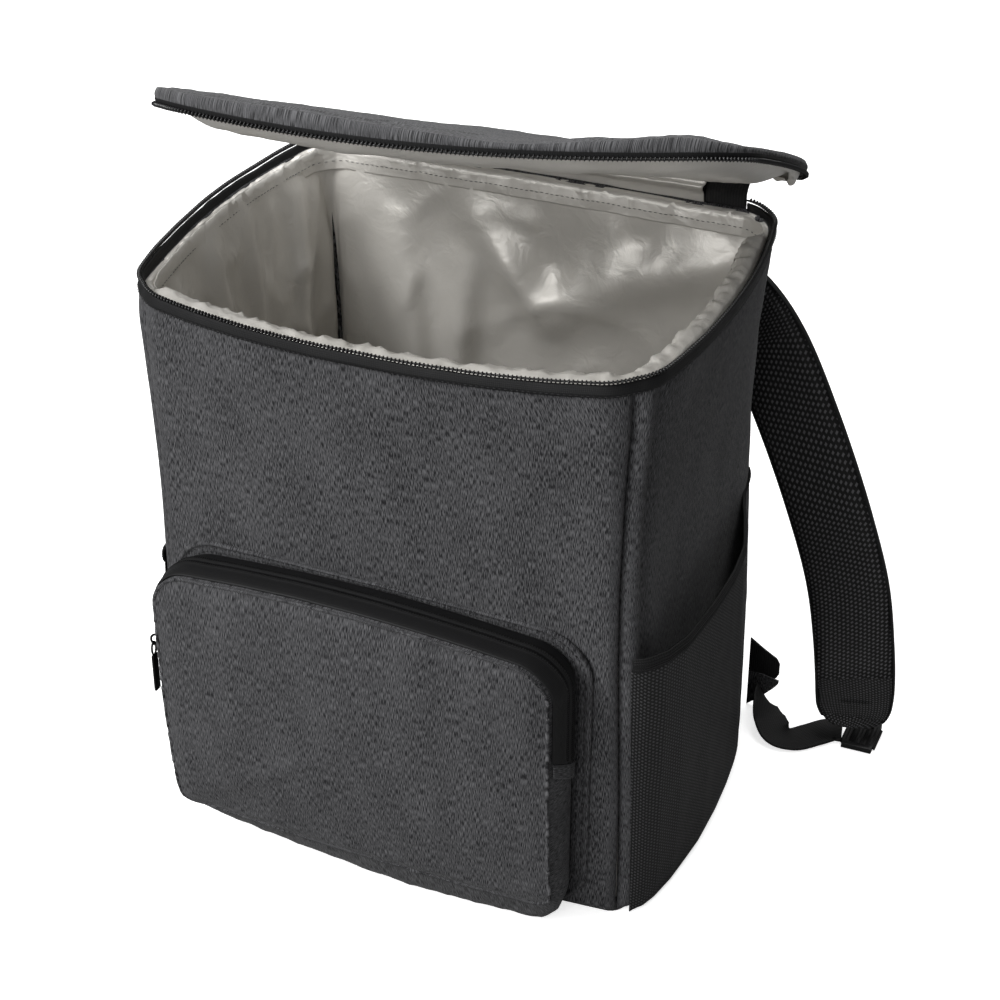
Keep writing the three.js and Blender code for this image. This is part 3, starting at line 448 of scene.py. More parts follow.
def body_shape(z, inset):
    row = between(BODY_SECTIONS, z / BODY_HEIGHT)
    bows = [FRONT_BOW * row[4], SIDE_BOW * row[5], BACK_BOW * row[6], SIDE_BOW * row[5]]
    corner = max(RIM_CORNER * row[3] - inset, LINING_CORNER)
    return BODY_WIDTH / 2 * row[1] - inset, BODY_DEPTH / 2 * row[2] - inset, corner, bows


def body_point(q, z, inset=0.0):
    return Vector((*outline_point(*body_shape(z, inset), q), z))


def seam_distance(q, z):
    """How far a place on the body is from the nearest upright seam."""
    across, along, corner, _ = body_shape(z, 0)
    t = q - math.floor(q)
    near = min(t, 1 - t)
    arc = corner * math.pi / 4
    if near < CORNER_SHARE:
        return near / CORNER_SHARE * arc
    half = across if math.floor(q) % 2 == 0 else along
    return arc + (near - CORNER_SHARE) / (1 - 2 * CORNER_SHARE) * 2 * (half - corner)


def front_at(x, z):
    across, along, corner, bows = body_shape(z, 0)
    seam = across - corner * (1 - math.sqrt(0.5))
    return along + bows[0] * max(0.0, 1 - (x / seam) ** 2)


def lid_place(x, y, w):
    across = 2 * x / (BODY_WIDTH + 2 * LID_OVERHANG)
    lift = math.radians(LID_LIFT + LID_CURL * across**2 + LID_TWIST * across)
    forward = LID_HINGE - y
    back = -forward * math.cos(lift) + w * math.sin(lift)
    up = forward * math.sin(lift) + w * math.cos(lift)
    return LID_SHIFT + Vector((
        x * math.cos(LID_YAW) - back * math.sin(LID_YAW),
        LID_HINGE + x * math.sin(LID_YAW) + back * math.cos(LID_YAW),
        BODY_HEIGHT + up,
    ))


def lid_outline(q, inset):
    across, along, corner, bows = body_shape(BODY_HEIGHT, 0)
    corner = max(corner - inset, LINING_CORNER)
    return outline_point(across + LID_OVERHANG - inset, along - inset, corner, bows, q)


def lid_point(q, inset, w):
    return lid_place(*lid_outline(q, inset), w)


def lid_dent(x, y):
    across = x / BODY_WIDTH + 0.5
    along = (LID_HINGE - y) / BODY_DEPTH
    return sum(
        depth * math.exp(-(((across - a) / wide) ** 2) - ((along - b) / long) ** 2)
        for a, b, wide, long, depth in LID_DENTS
    )


def pocket_outline(q, inset):
    across = POCKET_WIDTH / 2 - inset
    along = (POCKET_TOP - POCKET_BOTTOM) / 2 - inset
    x, high = outline_point(across, along, max(POCKET_CORNER - inset, LINING_CORNER), [0] * 4, q)
    middle = (POCKET_TOP + POCKET_BOTTOM) / 2
    rise = (high + middle - POCKET_BOTTOM) / (POCKET_TOP - POCKET_BOTTOM)
    arch = POCKET_ARCH * rise**2 * (x / POCKET_WIDTH - ARCH_MIDDLE) ** 2 * 4
    return x - POCKET_LEFT, high + middle - arch, rise


def flange_at(q):
    top = max(0.0, math.sin((q - 2) * math.pi)) if 2 < q < 3 else 0.0
    return FLANGE_WIDTH - (FLANGE_WIDTH - FLANGE_TOP_WIDTH) * top


def gusset_point(q, share, lift):
    """A point of the pocket's side, from the flange (0) to the face (1), moved out by lift."""
    swell = GUSSET_SWELL * math.sin(share * math.pi) + FACE_SPREAD * share
    x, z, rise = pocket_outline(q, flange_at(q) - lift - swell)
    foot = max(0.0, 1 - rise) ** 3
    low = max(0.0, 1 - rise * 4) ** 2
    front = front_at(x, z) + REST_GAP + FLANGE_WALL
    reach = share * (POCKET_REACH - FACE_FOOT_BACK * low)
    narrow = -x / POCKET_WIDTH * FACE_FOOT_SHIFT
    side = share * ((FACE_FOOT_SHIFT + narrow) * foot - FACE_LEFT_LEAN)
    left = 0.5 - x / POCKET_WIDTH
    rest = (FACE_RISE + FACE_TILT * left) * share**2
    sag = GUSSET_SAG * min(1.0, max(0.0, (0.92 - left) * 2)) * math.sin(share * math.pi)
    up = low * (rest - sag)
    floor = REST_GAP - min(lift, 0)
    above = z + up - floor
    height = floor + (above + math.hypot(above, GUSSET_FOOT_SOFT)) / 2
    return Vector((x + side, -(front + reach), height))


def place_at(side, z):
    """The place down one side of the pocket where its outline is at a height."""
    straight = (POCKET_TOP - POCKET_BOTTOM) / 2 - FLANGE_WIDTH - (POCKET_CORNER - FLANGE_WIDTH)
    share = (z - (POCKET_TOP + POCKET_BOTTOM) / 2) / straight
    t = CORNER_SHARE + (1 + share) / 2 * (1 - 2 * CORNER_SHARE)
    return 1 + t if side == 1 else 4 - t


# Meshes
def laid(across, along, place, cloth_size, ring=False, turned=False, pole=False, lay=None):
    """A grid laid over a surface: place(u, v) gives the point in millimetres. The cloth's own
    coordinates are in metres, u by v of cloth_size or from lay(u, v). A ring closes in u, a pole
    at v = 1."""
    lay = lay or (lambda u, v: (u * cloth_size[0], v * cloth_size[1]))
    bm = bmesh.new()
    bmesh.ops.create_grid(bm, x_segments=across, y_segments=along, size=0.5, calc_uvs=True)
    cloth = bm.loops.layers.uv.verify()
    for face in bm.faces:
        for loop in face.loops:
            u, v = lay(loop.vert.co.x + 0.5, loop.vert.co.y + 0.5)
            loop[cloth].uv = (u * MM, v * MM)
    for vert in bm.verts:
        vert.co = Vector(place(vert.co.x + 0.5, vert.co.y + 0.5)) * MM
    if ring or pole:
        bmesh.ops.remove_doubles(bm, verts=bm.verts, dist=0.02 * MM)
    if turned:
        bmesh.ops.reverse_faces(bm, faces=bm.faces)
    return bm


def close_ends(bm):
    """Closes the open ends of a tube-like mesh and turns its faces outwards."""
    bmesh.ops.holes_fill(bm, edges=[e for e in bm.edges if e.is_boundary], sides=0)
    bmesh.ops.recalc_face_normals(bm, faces=bm.faces)


def flat_weave(bm, lay):
    """Gives every corner of the cloth its coordinates from lay(point in millimetres)."""
    cloth = bm.loops.layers.uv.verify()
    for face in bm.faces:
        for loop in face.loops:
            u, v = lay(loop.vert.co / MM)
            loop[cloth].uv = (u * MM, v * MM)


def made(name, bm, finish, nodes=(), body="bag", wall=0.0):
    """Turns a mesh into a piece of the bag, with its finish, its body and the nodes it replaces."""
    mesh = bpy.data.meshes.new(name)
    bm.to_mesh(mesh)
    bm.free()
    mesh.materials.append(finish[0])
    mesh.shade_smooth()
    piece = bpy.data.objects.new(name, mesh)
    bpy.context.collection.objects.link(piece)
    if wall:
        thick = piece.modifiers.new("wall", "SOLIDIFY")
        thick.thickness = wall * MM
        thick.offset = -1
    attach(piece, body)
    if nodes:
        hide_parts(*nodes)
    return piece


def spread(count, squeeze):
    """Moves a share of a side towards the seams at its ends, so that the grid is finer there."""
    turn = 2 * math.pi
    return lambda u: (
        math.floor(u * count) + (u * count) % 1 - squeeze * math.sin((u * count) % 1 * turn) / turn
    )


def way(point, start, stop, step, samples=1200):
    """Places at equal steps along point(q), each with the way it runs there."""
    places = [start + (stop - start) * n / samples for n in range(samples + 1)]
    points = [Vector(point(q)) for q in places]
    passed, wanted = 0.0, step / 2
    for n in range(samples):
        length = (points[n + 1] - points[n]).length
        while wanted <= passed + length and length > 0:
            share = (wanted - passed) / length
            yield (places[n] + (places[n + 1] - places[n]) * share,
                   points[n].lerp(points[n + 1], share), (points[n + 1] - points[n]).normalized())
            wanted += step
        passed += length


def set_by(origin, along, up, sizes):
    """The matrix that puts a unit shape at origin, its x along, its z up, with these sizes."""
    along = along.normalized()
    side = up.cross(along).normalized()
    top = along.cross(side)
    axes = Matrix((along * sizes[0], side * sizes[1], top * sizes[2])).transposed()
    return Matrix.Translation(origin * MM) @ (axes * MM).to_4x4()


def beads(settings, shape="cube"):
    """Many small shapes in one mesh, each from its own matrix."""
    bm = bmesh.new()
    for matrix in settings:
        if shape == "cube":
            bmesh.ops.create_cube(bm, size=1.0, matrix=matrix)
        else:
            bmesh.ops.create_icosphere(bm, subdivisions=1, radius=0.5, matrix=matrix)
    return bm


def sew(name, places, up, size, thread):
    """A row of stitches: one small bead at every place that way() gives."""
    stitches = [set_by(point, along, up, size) for _, point, along in places]
    made(name, beads(stitches, "ico"), thread)


def ripple(point, size, seed=0.0):
    """Soft unevenness of cloth, from -1 to 1, over lumps of the given size."""
    return noise.noise(point / size + Vector((seed, seed * 1.7, -seed)))


def creases(point, size, seed=0.0):
    """Sharp-backed creases, from 0 to 1, about size apart."""
    value = noise.noise(point / size + Vector((seed, -seed, seed * 2.3)))
    return (1 - min(1.0, abs(value) * 3.2)) ** 2


# Body cloth: one padded shell whose four panels are drawn in at the upright seams
SEAM_DEPTH = 5.0
SEAM_WIDTH = 2.3
SEAM_DRAW = 1.3
SEAM_DRAW_WIDTH = 9
PANEL_SOFTNESS = 1.9
PANEL_SMALL_SOFTNESS = 0.45
PLEATS = [
    # side, which end of it, middle, width, height out, and the share of the height it keeps below
    (1, 0, 8, 4, 2.6, 1.0),
    (1, 0, 20, 7, -2.8, 0.55),
    (3, 1, 12, 6, 1.6, 1.0),
]
FRONT_TUCK = 2.2
FRONT_TUCK_WIDTH = 7
RIM_PUCKER = 0.9


def body_relief(q, z):
    """How far the padded cloth stands out of the outline, in millimetres."""
    distance = seam_distance(q, z)
    point = body_point(q, z)
    side = math.floor(q) % 4
    end = round(q - math.floor(q))
    depth = -SEAM_DEPTH * hump(distance, 0, SEAM_WIDTH)
    depth -= SEAM_DRAW * math.exp(-distance / SEAM_DRAW_WIDTH)
    depth += PANEL_SOFTNESS * ripple(Vector((point.x, point.y, z * 0.35)), 48, 3.0)
    depth += PANEL_SMALL_SOFTNESS * ripple(Vector((point.x, point.y, z * 0.6)), 17, 7.0)
    for pleat_side, pleat_end, middle, wide, out, low in PLEATS:
        if (side, end) == (pleat_side, pleat_end):
            depth += out * hump(distance, middle, wide) * (low + (1 - low) * z / BODY_HEIGHT)
    if (side, end) == (0, 1):
        depth -= FRONT_TUCK * hump(distance, 0, FRONT_TUCK_WIDTH) * smooth((330 - z) / 200)
    near_rim = math.exp(-(PANEL_TOP - z) / 16)
    depth += RIM_PUCKER * near_rim * ripple(point, 13, 5.0)
    return depth * (1 - 0.5 * math.exp(-distance / 40) * near_rim)


BODY_GIRTH = 1170
BODY_FOOT = 1.5
BODY_CLOTH_TOP = PANEL_TOP + 0.6
BODY_WALL = 3.2
FOOT_TURN = 0.7 * FOOT_ROUND
TOP_TURN = 1.6
TOP_TURN_FROM = 0.992
BASE_HEIGHT = 0.35


def make_body():
    side_of = spread(4, 0.86)

    def place(u, v):
        q = side_of(u)
        z = BODY_FOOT + (BODY_CLOTH_TOP - BODY_FOOT) * v
        turn_in = max(0.0, 1 - (z - BODY_FOOT) / FOOT_ROUND)
        inset = FOOT_TURN * (1 - math.sqrt(max(0.0, 1 - turn_in**2)))
        inset += TOP_TURN * max(0.0, (v - TOP_TURN_FROM) / (1 - TOP_TURN_FROM))
        point = body_point(q, z, inset - body_relief(q, z) * (1 - turn_in))
        point.z += rim_wave(q) * smooth((z - 340) / 50)
        return point

    bm = laid(4 * 66, 104, place, (1, 1), ring=True,
              lay=lambda u, v: (side_of(u) / 4 * BODY_GIRTH, v * PANEL_TOP))
    nodes = ["front_panel", "right_panel", "back_panel", "left_panel"]
    body = made("body_cloth", bm, BODY_CLOTH, nodes, wall=BODY_WALL)

    def under(u, v):
        x, y, _ = body_point(4 * u, 0, FOOT_TURN + 0.4)
        hollow = 0.5 * math.sin(v * math.pi)
        return Vector((x * (1 - v), y * (1 - v), BASE_HEIGHT + hollow))

    bm = laid(120, 18, under, (1, 1), ring=True, pole=True, turned=True)
    flat_weave(bm, lambda p: (p.x, p.y))
    made("base_cloth", bm, BODY_CLOTH, ["base_panel"], wall=1.2)


# Zip round the rim
def rim_wave(q):
    """How the soft rim rises and dips along its way."""
    long = noise.noise(Vector((q * 3.1, 2.0, 0)))
    short = noise.noise(Vector((q * 9.0, 5.0, 0)))
    return 1.1 * long + 0.5 * short


def coil_of(line, up_at):
    """A nylon coil along a line: a thin core along it and a tooth at every step, set outwards."""
    count = 500
    spots = [Vector(line(ZIP_FROM + (ZIP_TO - ZIP_FROM) * n / count)) for n in range(count + 1)]
    core = tube(spots, COIL_CORE, sides=6)
    teeth = []
    for _, point, along in way(line, ZIP_FROM, ZIP_TO, TOOTH_STEP):
        up = up_at(along)
        out = along.cross(up).normalized()
        teeth.append(set_by(point + out * TOOTH_OUT + up * TOOTH_UP, along, up, TOOTH_SIZE))
    return joined_meshes([core, beads(teeth, "ico")])


TAPE_LINE = [
    # share, inset, height
    (0.0, -1.0, 389.4),
    (0.16, -1.3, 391.4),
    (0.34, -0.6, 394.0),
    (0.5, 0.2, 396.4),
    (0.56, 0.9, 396.9),
    (0.66, 2.0, 396.2),
    (0.84, 3.0, 393.4),
    (1.0, 3.4, 390.4),
]
COIL_HEIGHT = 398.2
COIL_INSET = 0.9
COIL_CORE = 0.7
TOOTH_STEP = 2.5
TOOTH_SIZE = (1.5, 3.8, 3.4)
TOOTH_OUT = 0.8
TOOTH_UP = 0.3
ZIP_LENGTH = 1010
RIM_SEAM = 390.3
RIM_SEAM_INSET = -1.55
RIM_STITCH = (2.5, 0.5, 0.5)
RIM_STITCH_STEP = 3.4


def make_rim_zip():
    def place(u, v):
        q = ZIP_FROM + (ZIP_TO - ZIP_FROM) * u
        _, inset, z = between(TAPE_LINE, v)
        point = body_point(q, z, inset)
        wave = 0.35 * ripple(point, 11, 2.0)
        moved = body_point(q, z, inset - wave)
        moved.z += rim_wave(q) + wave * 0.4
        return moved

    bm = laid(330, 22, place, (ZIP_LENGTH, 14))
    made("rim_zip_tape_cloth", bm, ZIP_TAPE, ["rim_zip_tape"], wall=0.7)

    def coil_line(q):
        return body_point(q, COIL_HEIGHT + rim_wave(q), COIL_INSET)

    made("rim_zip_teeth", coil_of(coil_line, lambda along: UP), NYLON, ["rim_zip_coil"])
    seam = way(lambda q: body_point(q, RIM_SEAM, RIM_SEAM_INSET), ZIP_FROM, ZIP_TO,
               RIM_STITCH_STEP)
    sew("rim_stitches", seam, UP, RIM_STITCH, THREAD)


# Lining: a foil-faced cup that hangs in soft folds, with a crinkled binding at the rim
def fold_at(q, z):
    """How far the folds near a place stand in from the wall."""
    total = 0.0
    for q0, rise0, q1, rise1, wide, depth in LINING_FOLDS:
        side = BODY_WIDTH if int(q0) % 2 == 0 else BODY_DEPTH
        start = Vector((q0 * side, rise0 * BODY_HEIGHT))
        line = Vector((q1 * side, rise1 * BODY_HEIGHT)) - start
        at = Vector((q * side, z)) - start
        share = min(1.0, max(0.0, at.dot(line) / line.length_squared))
        away = (at - line * share).length
        taper = 0.45 + 0.55 * math.sin(share * math.pi)
        total += depth * taper * hump(away, 0, wide)
    return total


LINING_TOP = 390.8
LINING_INSET = 6.2
LINING_FLOOR = 8.0
BINDING_LINE = [
    # share, inset and height on the flat sides, inset and height where it puffs inwards
    (0.0, 3.2, 391.6, 3.2, 392.4),
    (0.12, 4.4, 391.8, 5.4, 395.4),
    (0.3, 6.4, 390.8, 10.5, 397.0),
    (0.5, 7.4, 387.0, 15.0, 395.8),
    (0.72, 8.2, 382.0, 17.6, 391.0),
    (1.0, 8.8, 375.6, 17.8, 382.0),
]


BINDING_SEAM = (379.5, 9.2)
BINDING_SEAM_ENDS = (1.94, 3.9)
BINDING_SEAM_SHARE = 0.72
BINDING_STITCH = (2.7, 0.6, 0.6)
BINDING_STITCH_STEP = 3.8
LINING_WALL_SHARE = 0.8
PUFF_DEPTH = 11


def puff_at(q):
    """1 along the front and the right, where the foil is gathered and puffs inwards."""
    q = q % 4
    if q < 2:
        return smooth((1.93 - q) / 0.12) * smooth(q / 0.1 + 0.35)
    return smooth((q - 3.86) / 0.14) * 0.35


def make_lining():
    def place(u, v):
        q = 4 * u
        share = v / LINING_WALL_SHARE
        puff = PUFF_DEPTH * puff_at(q) * (1 - smooth(share / 0.14))
        if share > 1:
            share = (v - LINING_WALL_SHARE) / (1 - LINING_WALL_SHARE)
            edge = body_point(q, LINING_FLOOR, LINING_INSET + 1.5)
            return Vector((edge.x * (1 - share), edge.y * (1 - share), LINING_FLOOR))
        z = LINING_TOP + (LINING_FLOOR - LINING_TOP) * share
        point = body_point(q, z)
        hang = smooth((LINING_TOP - z) / 34)
        seam = smooth(min(q % 1, 1 - q % 1) / 0.16)
        fold = fold_at(q, z) * seam * smooth((LINING_TOP - z) / 14)
        small = 2.4 * creases(Vector((point.x, point.y, z * 0.7)), 40, 1.0)
        small += 1.6 * ripple(Vector((point.x, point.y, z * 0.5)), 20, 4.0)
        gathers = 1.6 * (1 - hang) * ripple(Vector((point.x, point.y, z * 0.2)), 8, 6.0)
        away = LINING_INSET + 0.5 + max(0.0, fold + small * hang * seam + 1.5 * hang) + abs(gathers)
        return body_point(q, z, away + puff)

    bm = laid(4 * 72, 88, place, (1140, 620), ring=True, pole=True, turned=True)
    lining = made("lining_film", bm, FOIL, ["lining"], wall=-0.8)

    def bound(u, v):
        q = 4 * u
        _, flat_in, flat_z, puff_in, puff_z = between(BINDING_LINE, v)
        puff = puff_at(q)
        inset = flat_in + (puff_in - flat_in) * puff
        z = flat_z + (puff_z - flat_z) * puff + rim_wave(q) * (1 - v)
        point = body_point(q, 390, inset)
        pucker = ripple(Vector((point.x, point.y, z * 0.2)), 7, 9.0)
        pucker += 0.9 * creases(Vector((point.x, point.y, z * 0.3)), 15, 2.0) - 0.3
        pucker *= smooth(v / 0.25) * (0.8 + 0.9 * puff)
        moved = body_point(q, 390, inset + 0.7 * pucker)
        moved.z = z + 0.9 * pucker
        return moved

    bm = laid(4 * 120, 22, bound, (1150, 26), ring=True, turned=True)
    binding = made("lining_binding_film", bm, FOIL, ["lining_binding"], wall=-0.7)
    seam = [(q, bound(q / 4, BINDING_SEAM_SHARE) + UP.cross(along) * 0.5, along)
            for q, _, along in way(lambda q: body_point(q, *BINDING_SEAM), *BINDING_SEAM_ENDS,
                                   BINDING_STITCH_STEP)]
    sew("binding_stitches", seam, UP, BINDING_STITCH, GREY_THREAD)


# Lid
BAND_SHARE = 0.12


def lid_skin(q, v):
    """The lid's cloth: up the band, over the edge and in to the middle."""
    edge_x, edge_y = lid_outline(q, 0)
    edge_dent = lid_dent(edge_x, edge_y)
    band_top = max(LID_BAND_TOP + edge_dent, LID_BAND_FOOT + 0.4)
    top = band_top + LID_WALL
    if v < BAND_SHARE:
        share = v / BAND_SHARE
        bulge = 0.9 * math.sin(share * math.pi) ** 0.8
        w = LID_BAND_FOOT + (top - 0.6 - LID_BAND_FOOT) * share
        x, y = lid_outline(q, -bulge)
        point = Vector((x, y, w))
        point.z += 0.3 * ripple(point, 16, 2.0) * share
        return lid_place(*point)
    share = (v - BAND_SHARE) / (1 - BAND_SHARE)
    inset = share * LID_HINGE
    x, y = edge_x * (1 - share), edge_y * (1 - share) - LID_MIDDLE * share
    rise = smooth(share / 0.16)
    dent = edge_dent + (lid_dent(x, y) - edge_dent) * rise
    point = Vector((x, y, 0))
    crumple = 1.5 * creases(Vector((x * 0.55, y, 0)), 34, 8.0) + 1.0 * ripple(point, 26, 1.0)
    crumple += 0.5 * ripple(point, 9, 3.0)
    near_edge = math.exp(-inset / 45)
    seam = 1 - hump(inset, 0, 2.2)
    crumple *= (0.35 + 0.65 * near_edge) * seam
    w = LID_BAND_TOP + LID_WALL + dent + LID_CROWN * rise + crumple
    return lid_place(x, y, max(w, LID_BAND_FOOT + 1.2 + 2.0 * rise))


LID_UP = lid_place(0, 0, 1) - lid_place(0, 0, 0)
LID_SEAM = (2.6, 2.1)
LID_STITCH = (2.9, 0.7, 0.7)
LID_STITCH_STEP = 4.0


def lid_lay(point):
    return point.x, (point.y - point.z) * 0.8


def make_lid():
    side_of = spread(4, 0.5)
    bm = laid(4 * 66, 60, lambda u, v: lid_skin(side_of(u), v**1.6), (1, 1), ring=True, pole=True)
    flat_weave(bm, lid_lay)
    made("lid_cloth_cover", bm, LID_CLOTH, ["lid_band", "lid_top"], wall=1.1)

    def tape(u, v):
        q = ZIP_FROM + (ZIP_TO - ZIP_FROM) * u
        w = 3.9 - 2.9 * smooth(v / 0.5) if v < 0.5 else 1.0 + 2.6 * (v - 0.5) * 2
        inset = -0.7 + 1.2 * smooth(v / 0.5) if v < 0.5 else 0.5 + 2.4 * (v - 0.5) * 2
        return lid_point(q, inset, w)

    bm = laid(300, 12, tape, (1010, 12), turned=True)
    made("lid_zip_tape_cloth", bm, ZIP_TAPE, ["lid_zip_tape"], wall=0.6)
    made("lid_zip_teeth", coil_of(lambda q: lid_point(q, 0.3, 0.3), lambda along: LID_UP), NYLON,
         ["lid_zip_coil"])

    def pad(u, v):
        q = 4 * u
        share = smooth(v / 0.16)
        inset = 2.9 + v * (LID_HINGE - 3)
        x, y = lid_outline(q, 2.9)
        x, y = x * (1 - v), y * (1 - v) - LID_MIDDLE * v
        point = Vector((x, y, 0))
        quilt = 1.2 * ripple(point, 34, 5.0) + 0.8 * creases(point, 46, 6.0)
        gather = 0.8 * ripple(point, 8, 2.0) * math.exp(-inset / 18)
        w = 3.4 - (3.4 + LID_PAD_SWELL * 0.9) * share - quilt * share + gather * share
        return lid_place(x, y, w)

    bm = laid(4 * 60, 44, pad, (1, 1), ring=True, pole=True, turned=True)
    flat_weave(bm, lid_lay)
    cover = made("lid_pad_film", bm, FOIL, ["lid_pad"], wall=1.0)


def make_lid_binding():
    """Gathered foil strip between the lid's coil and its pad, hanging lower at the right end."""
    def bound(u, v):
        q = -1 + 3.02 * u
        hang = hump(q, 1.78, 0.2)
        reach = smooth(v / 0.5)
        inset = 2.2 + (6 + 2 * hang) * v
        point = Vector((*lid_outline(q, inset), 0))
        pucker = ripple(point, 6, 4.0) + 0.8 * creases(point, 13, 7.0)
        w = 3.0 - (3.4 + 5 * hang) * reach + (1.5 + hang) * pucker * math.sin(v * math.pi)
        return lid_place(point.x, point.y, w + 2.0 * smooth((v - 0.75) / 0.25))

    bm = laid(560, 16, bound, (990, 12), turned=True)
    strip = made("lid_binding_film", bm, FOIL, wall=0.5)
    seam = way(lambda q: lid_point(q, *LID_SEAM), ZIP_FROM, ZIP_TO, LID_STITCH_STEP)
    sew("lid_stitches", seam, LID_UP, LID_STITCH, THREAD)


def hinge_grid(first, last, lift):
    """Cloth from the back panel's top edge up and forwards to the lid, set in by lift."""
    line = [(0, 0), (0.3, 0), (0.7, 0.35), (1, 1)]

    def place(u, v):
        q = first + (last - first) * u
        low = body_point(q, 391.6, lift)
        high = lid_point(q, 0, 3.2 - lift)
        up, ahead = between([(n / 3, *row) for n, row in enumerate(line)], v)[1:]
        ahead = smooth(ahead) * 0.5 + ahead * 0.5
        point = Vector((low.x + (high.x - low.x) * ahead, low.y + (high.y - low.y) * ahead,
                        low.z + (high.z - low.z) * up))
        point.y += 0.7 * math.sin(v * math.pi) * ripple(point, 20, 4.0)
        return point

    return place


BRIDGE = 30 / BODY_WIDTH
BRIDGE_GAP = 3 / BODY_WIDTH


def make_hinge():
    right = ZIP_TO + BRIDGE_GAP
    left = ZIP_FROM + 4 - BRIDGE_GAP
    inner = (right + BRIDGE, left - BRIDGE)
    bm = laid(90, 18, hinge_grid(*inner, 0.0), (290, 40))
    made("hinge_cloth_outside", bm, BODY_CLOTH, ["hinge_cloth"], wall=0.7)
    film_at = hinge_grid(*inner, 1.2)

    def flap(u, v):
        point = film_at(u, v)
        roll = hump(v, 0.46, 0.13) * (0.7 + 0.5 * math.sin(u * math.pi))
        point.y -= 7.5 * roll + 1.5 * math.sin(v * math.pi)
        point.z -= 3.0 * hump(v, 0.6, 0.1)
        pucker = ripple(Vector((point.x, v * 20, 0)), 13, 3.0) * math.sin(v * math.pi)
        point.y -= 1.4 * pucker
        return point

    bm = laid(150, 40, flap, (290, 40), turned=True)
    film = made("hinge_film_inside", bm, FOIL, wall=-0.6)
    for name, ends in (("right", (right, right + BRIDGE)), ("left", (left - BRIDGE, left))):
        bm = laid(16, 18, hinge_grid(*ends, 0.0), (24, 40))
        made(f"zip_bridge_{name}_tape", bm, WEBBING, [f"zip_bridge_{name}"], wall=1.5)


# Front pocket
def pocket_way(q, share):
    """Where the zip runs: it ends higher at the face than at the flange on the right."""
    start = place_at(1, ZIP_END)
    skew = place_at(1, ZIP_END + ZIP_SKEW) - start
    return q + skew * share * (2 - q) / (2 - start) if q < 2 else q


def gather_at(q, share, seed=1.0):
    """Puckers across the gusset, deepest below the zip's ends and at the corners."""
    point = gusset_point(q, 0, 0)
    below = smooth((150 - point.z) / 30)
    along = Vector((point.x, point.z, 0))
    puckers = 1.1 * ripple(Vector((along.x, along.y, share * 9)), 8, seed)
    return below * math.sin(share * math.pi) * (puckers + 0.7 * creases(along, 14, seed))


ROLL_SHARE = 0.07
RIDGES = (0.4, 0.6)
RIDGE_HEIGHT = 0.7


def make_pocket():
    def flange(u, v):
        q = 4 * u
        width = flange_at(q)
        x, z, _ = pocket_outline(q, width * v)
        rolled = 1.1 * math.sin(min(1.0, v / 0.32) * math.pi) if v < 0.32 else 0.0
        seam = -0.5 * hump(v, 0.36, 0.06)
        stand = FLANGE_WALL * (0.15 + 0.85 * smooth(v / 0.12)) + rolled + seam
        stand += 0.35 * ripple(Vector((x, z, 0)), 12, 2.0)
        return Vector((x, -(front_at(x, z) + REST_GAP + max(0.1, stand)), z))

    bm = laid(400, 16, flange, (1, 1), ring=True)
    flat_weave(bm, lambda p: (p.x, p.z))
    made("pocket_flange_cloth", bm, BODY_CLOTH, ["pocket_flange"], wall=0.6)

    def gusset(u, v):
        q = 4 * u
        return gusset_point(q, v, gather_at(q, v) - 0.2)

    bm = laid(380, 24, gusset, (950, 38), ring=True)
    made("pocket_gusset_cloth", bm, BODY_CLOTH, ["pocket_gusset"], wall=0.9)
    middle = Vector((-POCKET_LEFT - FACE_LEFT_LEAN, gusset_point(2.5, 1, 0).y,
                     (POCKET_TOP + POCKET_BOTTOM) / 2))

    def face(u, v):
        q = 4 * u
        edge = gusset_point(q, 1, 0)
        share = max(0.0, (v - ROLL_SHARE) / (1 - ROLL_SHARE))
        point = edge.lerp(middle, share**1.25)
        swell = FACE_SWELL * (0.5 * smooth(share / 0.16) + 0.5 * smooth(share / 0.6))
        roll = smooth(v / ROLL_SHARE)
        pucker = 0.9 * ripple(Vector((edge.x, 0, edge.z)), 9, 3.0) * math.exp(-share * 9) * roll
        soft = 2.6 * ripple(Vector((point.x, 0, point.z * 0.4)), 52, 2.0) * smooth(share / 0.3)
        fine = 0.4 * ripple(Vector((point.x, 0, point.z)), 15, 5.0)
        bead = 1.3 * hump(v, 0.05, 0.03)
        point.y -= swell + pucker + soft + fine * roll + bead * 0.8 - 1.6 * (1 - roll)
        return point

    bm = laid(240, 60, lambda u, v: face(u, v**1.35), (1, 1), ring=True, pole=True)
    flat_weave(bm, lambda p: (p.x, p.z))
    made("pocket_face_cloth", bm, BODY_CLOTH, ["pocket_face"], wall=1.2)
    make_pocket_zip()
    make_pocket_seams()


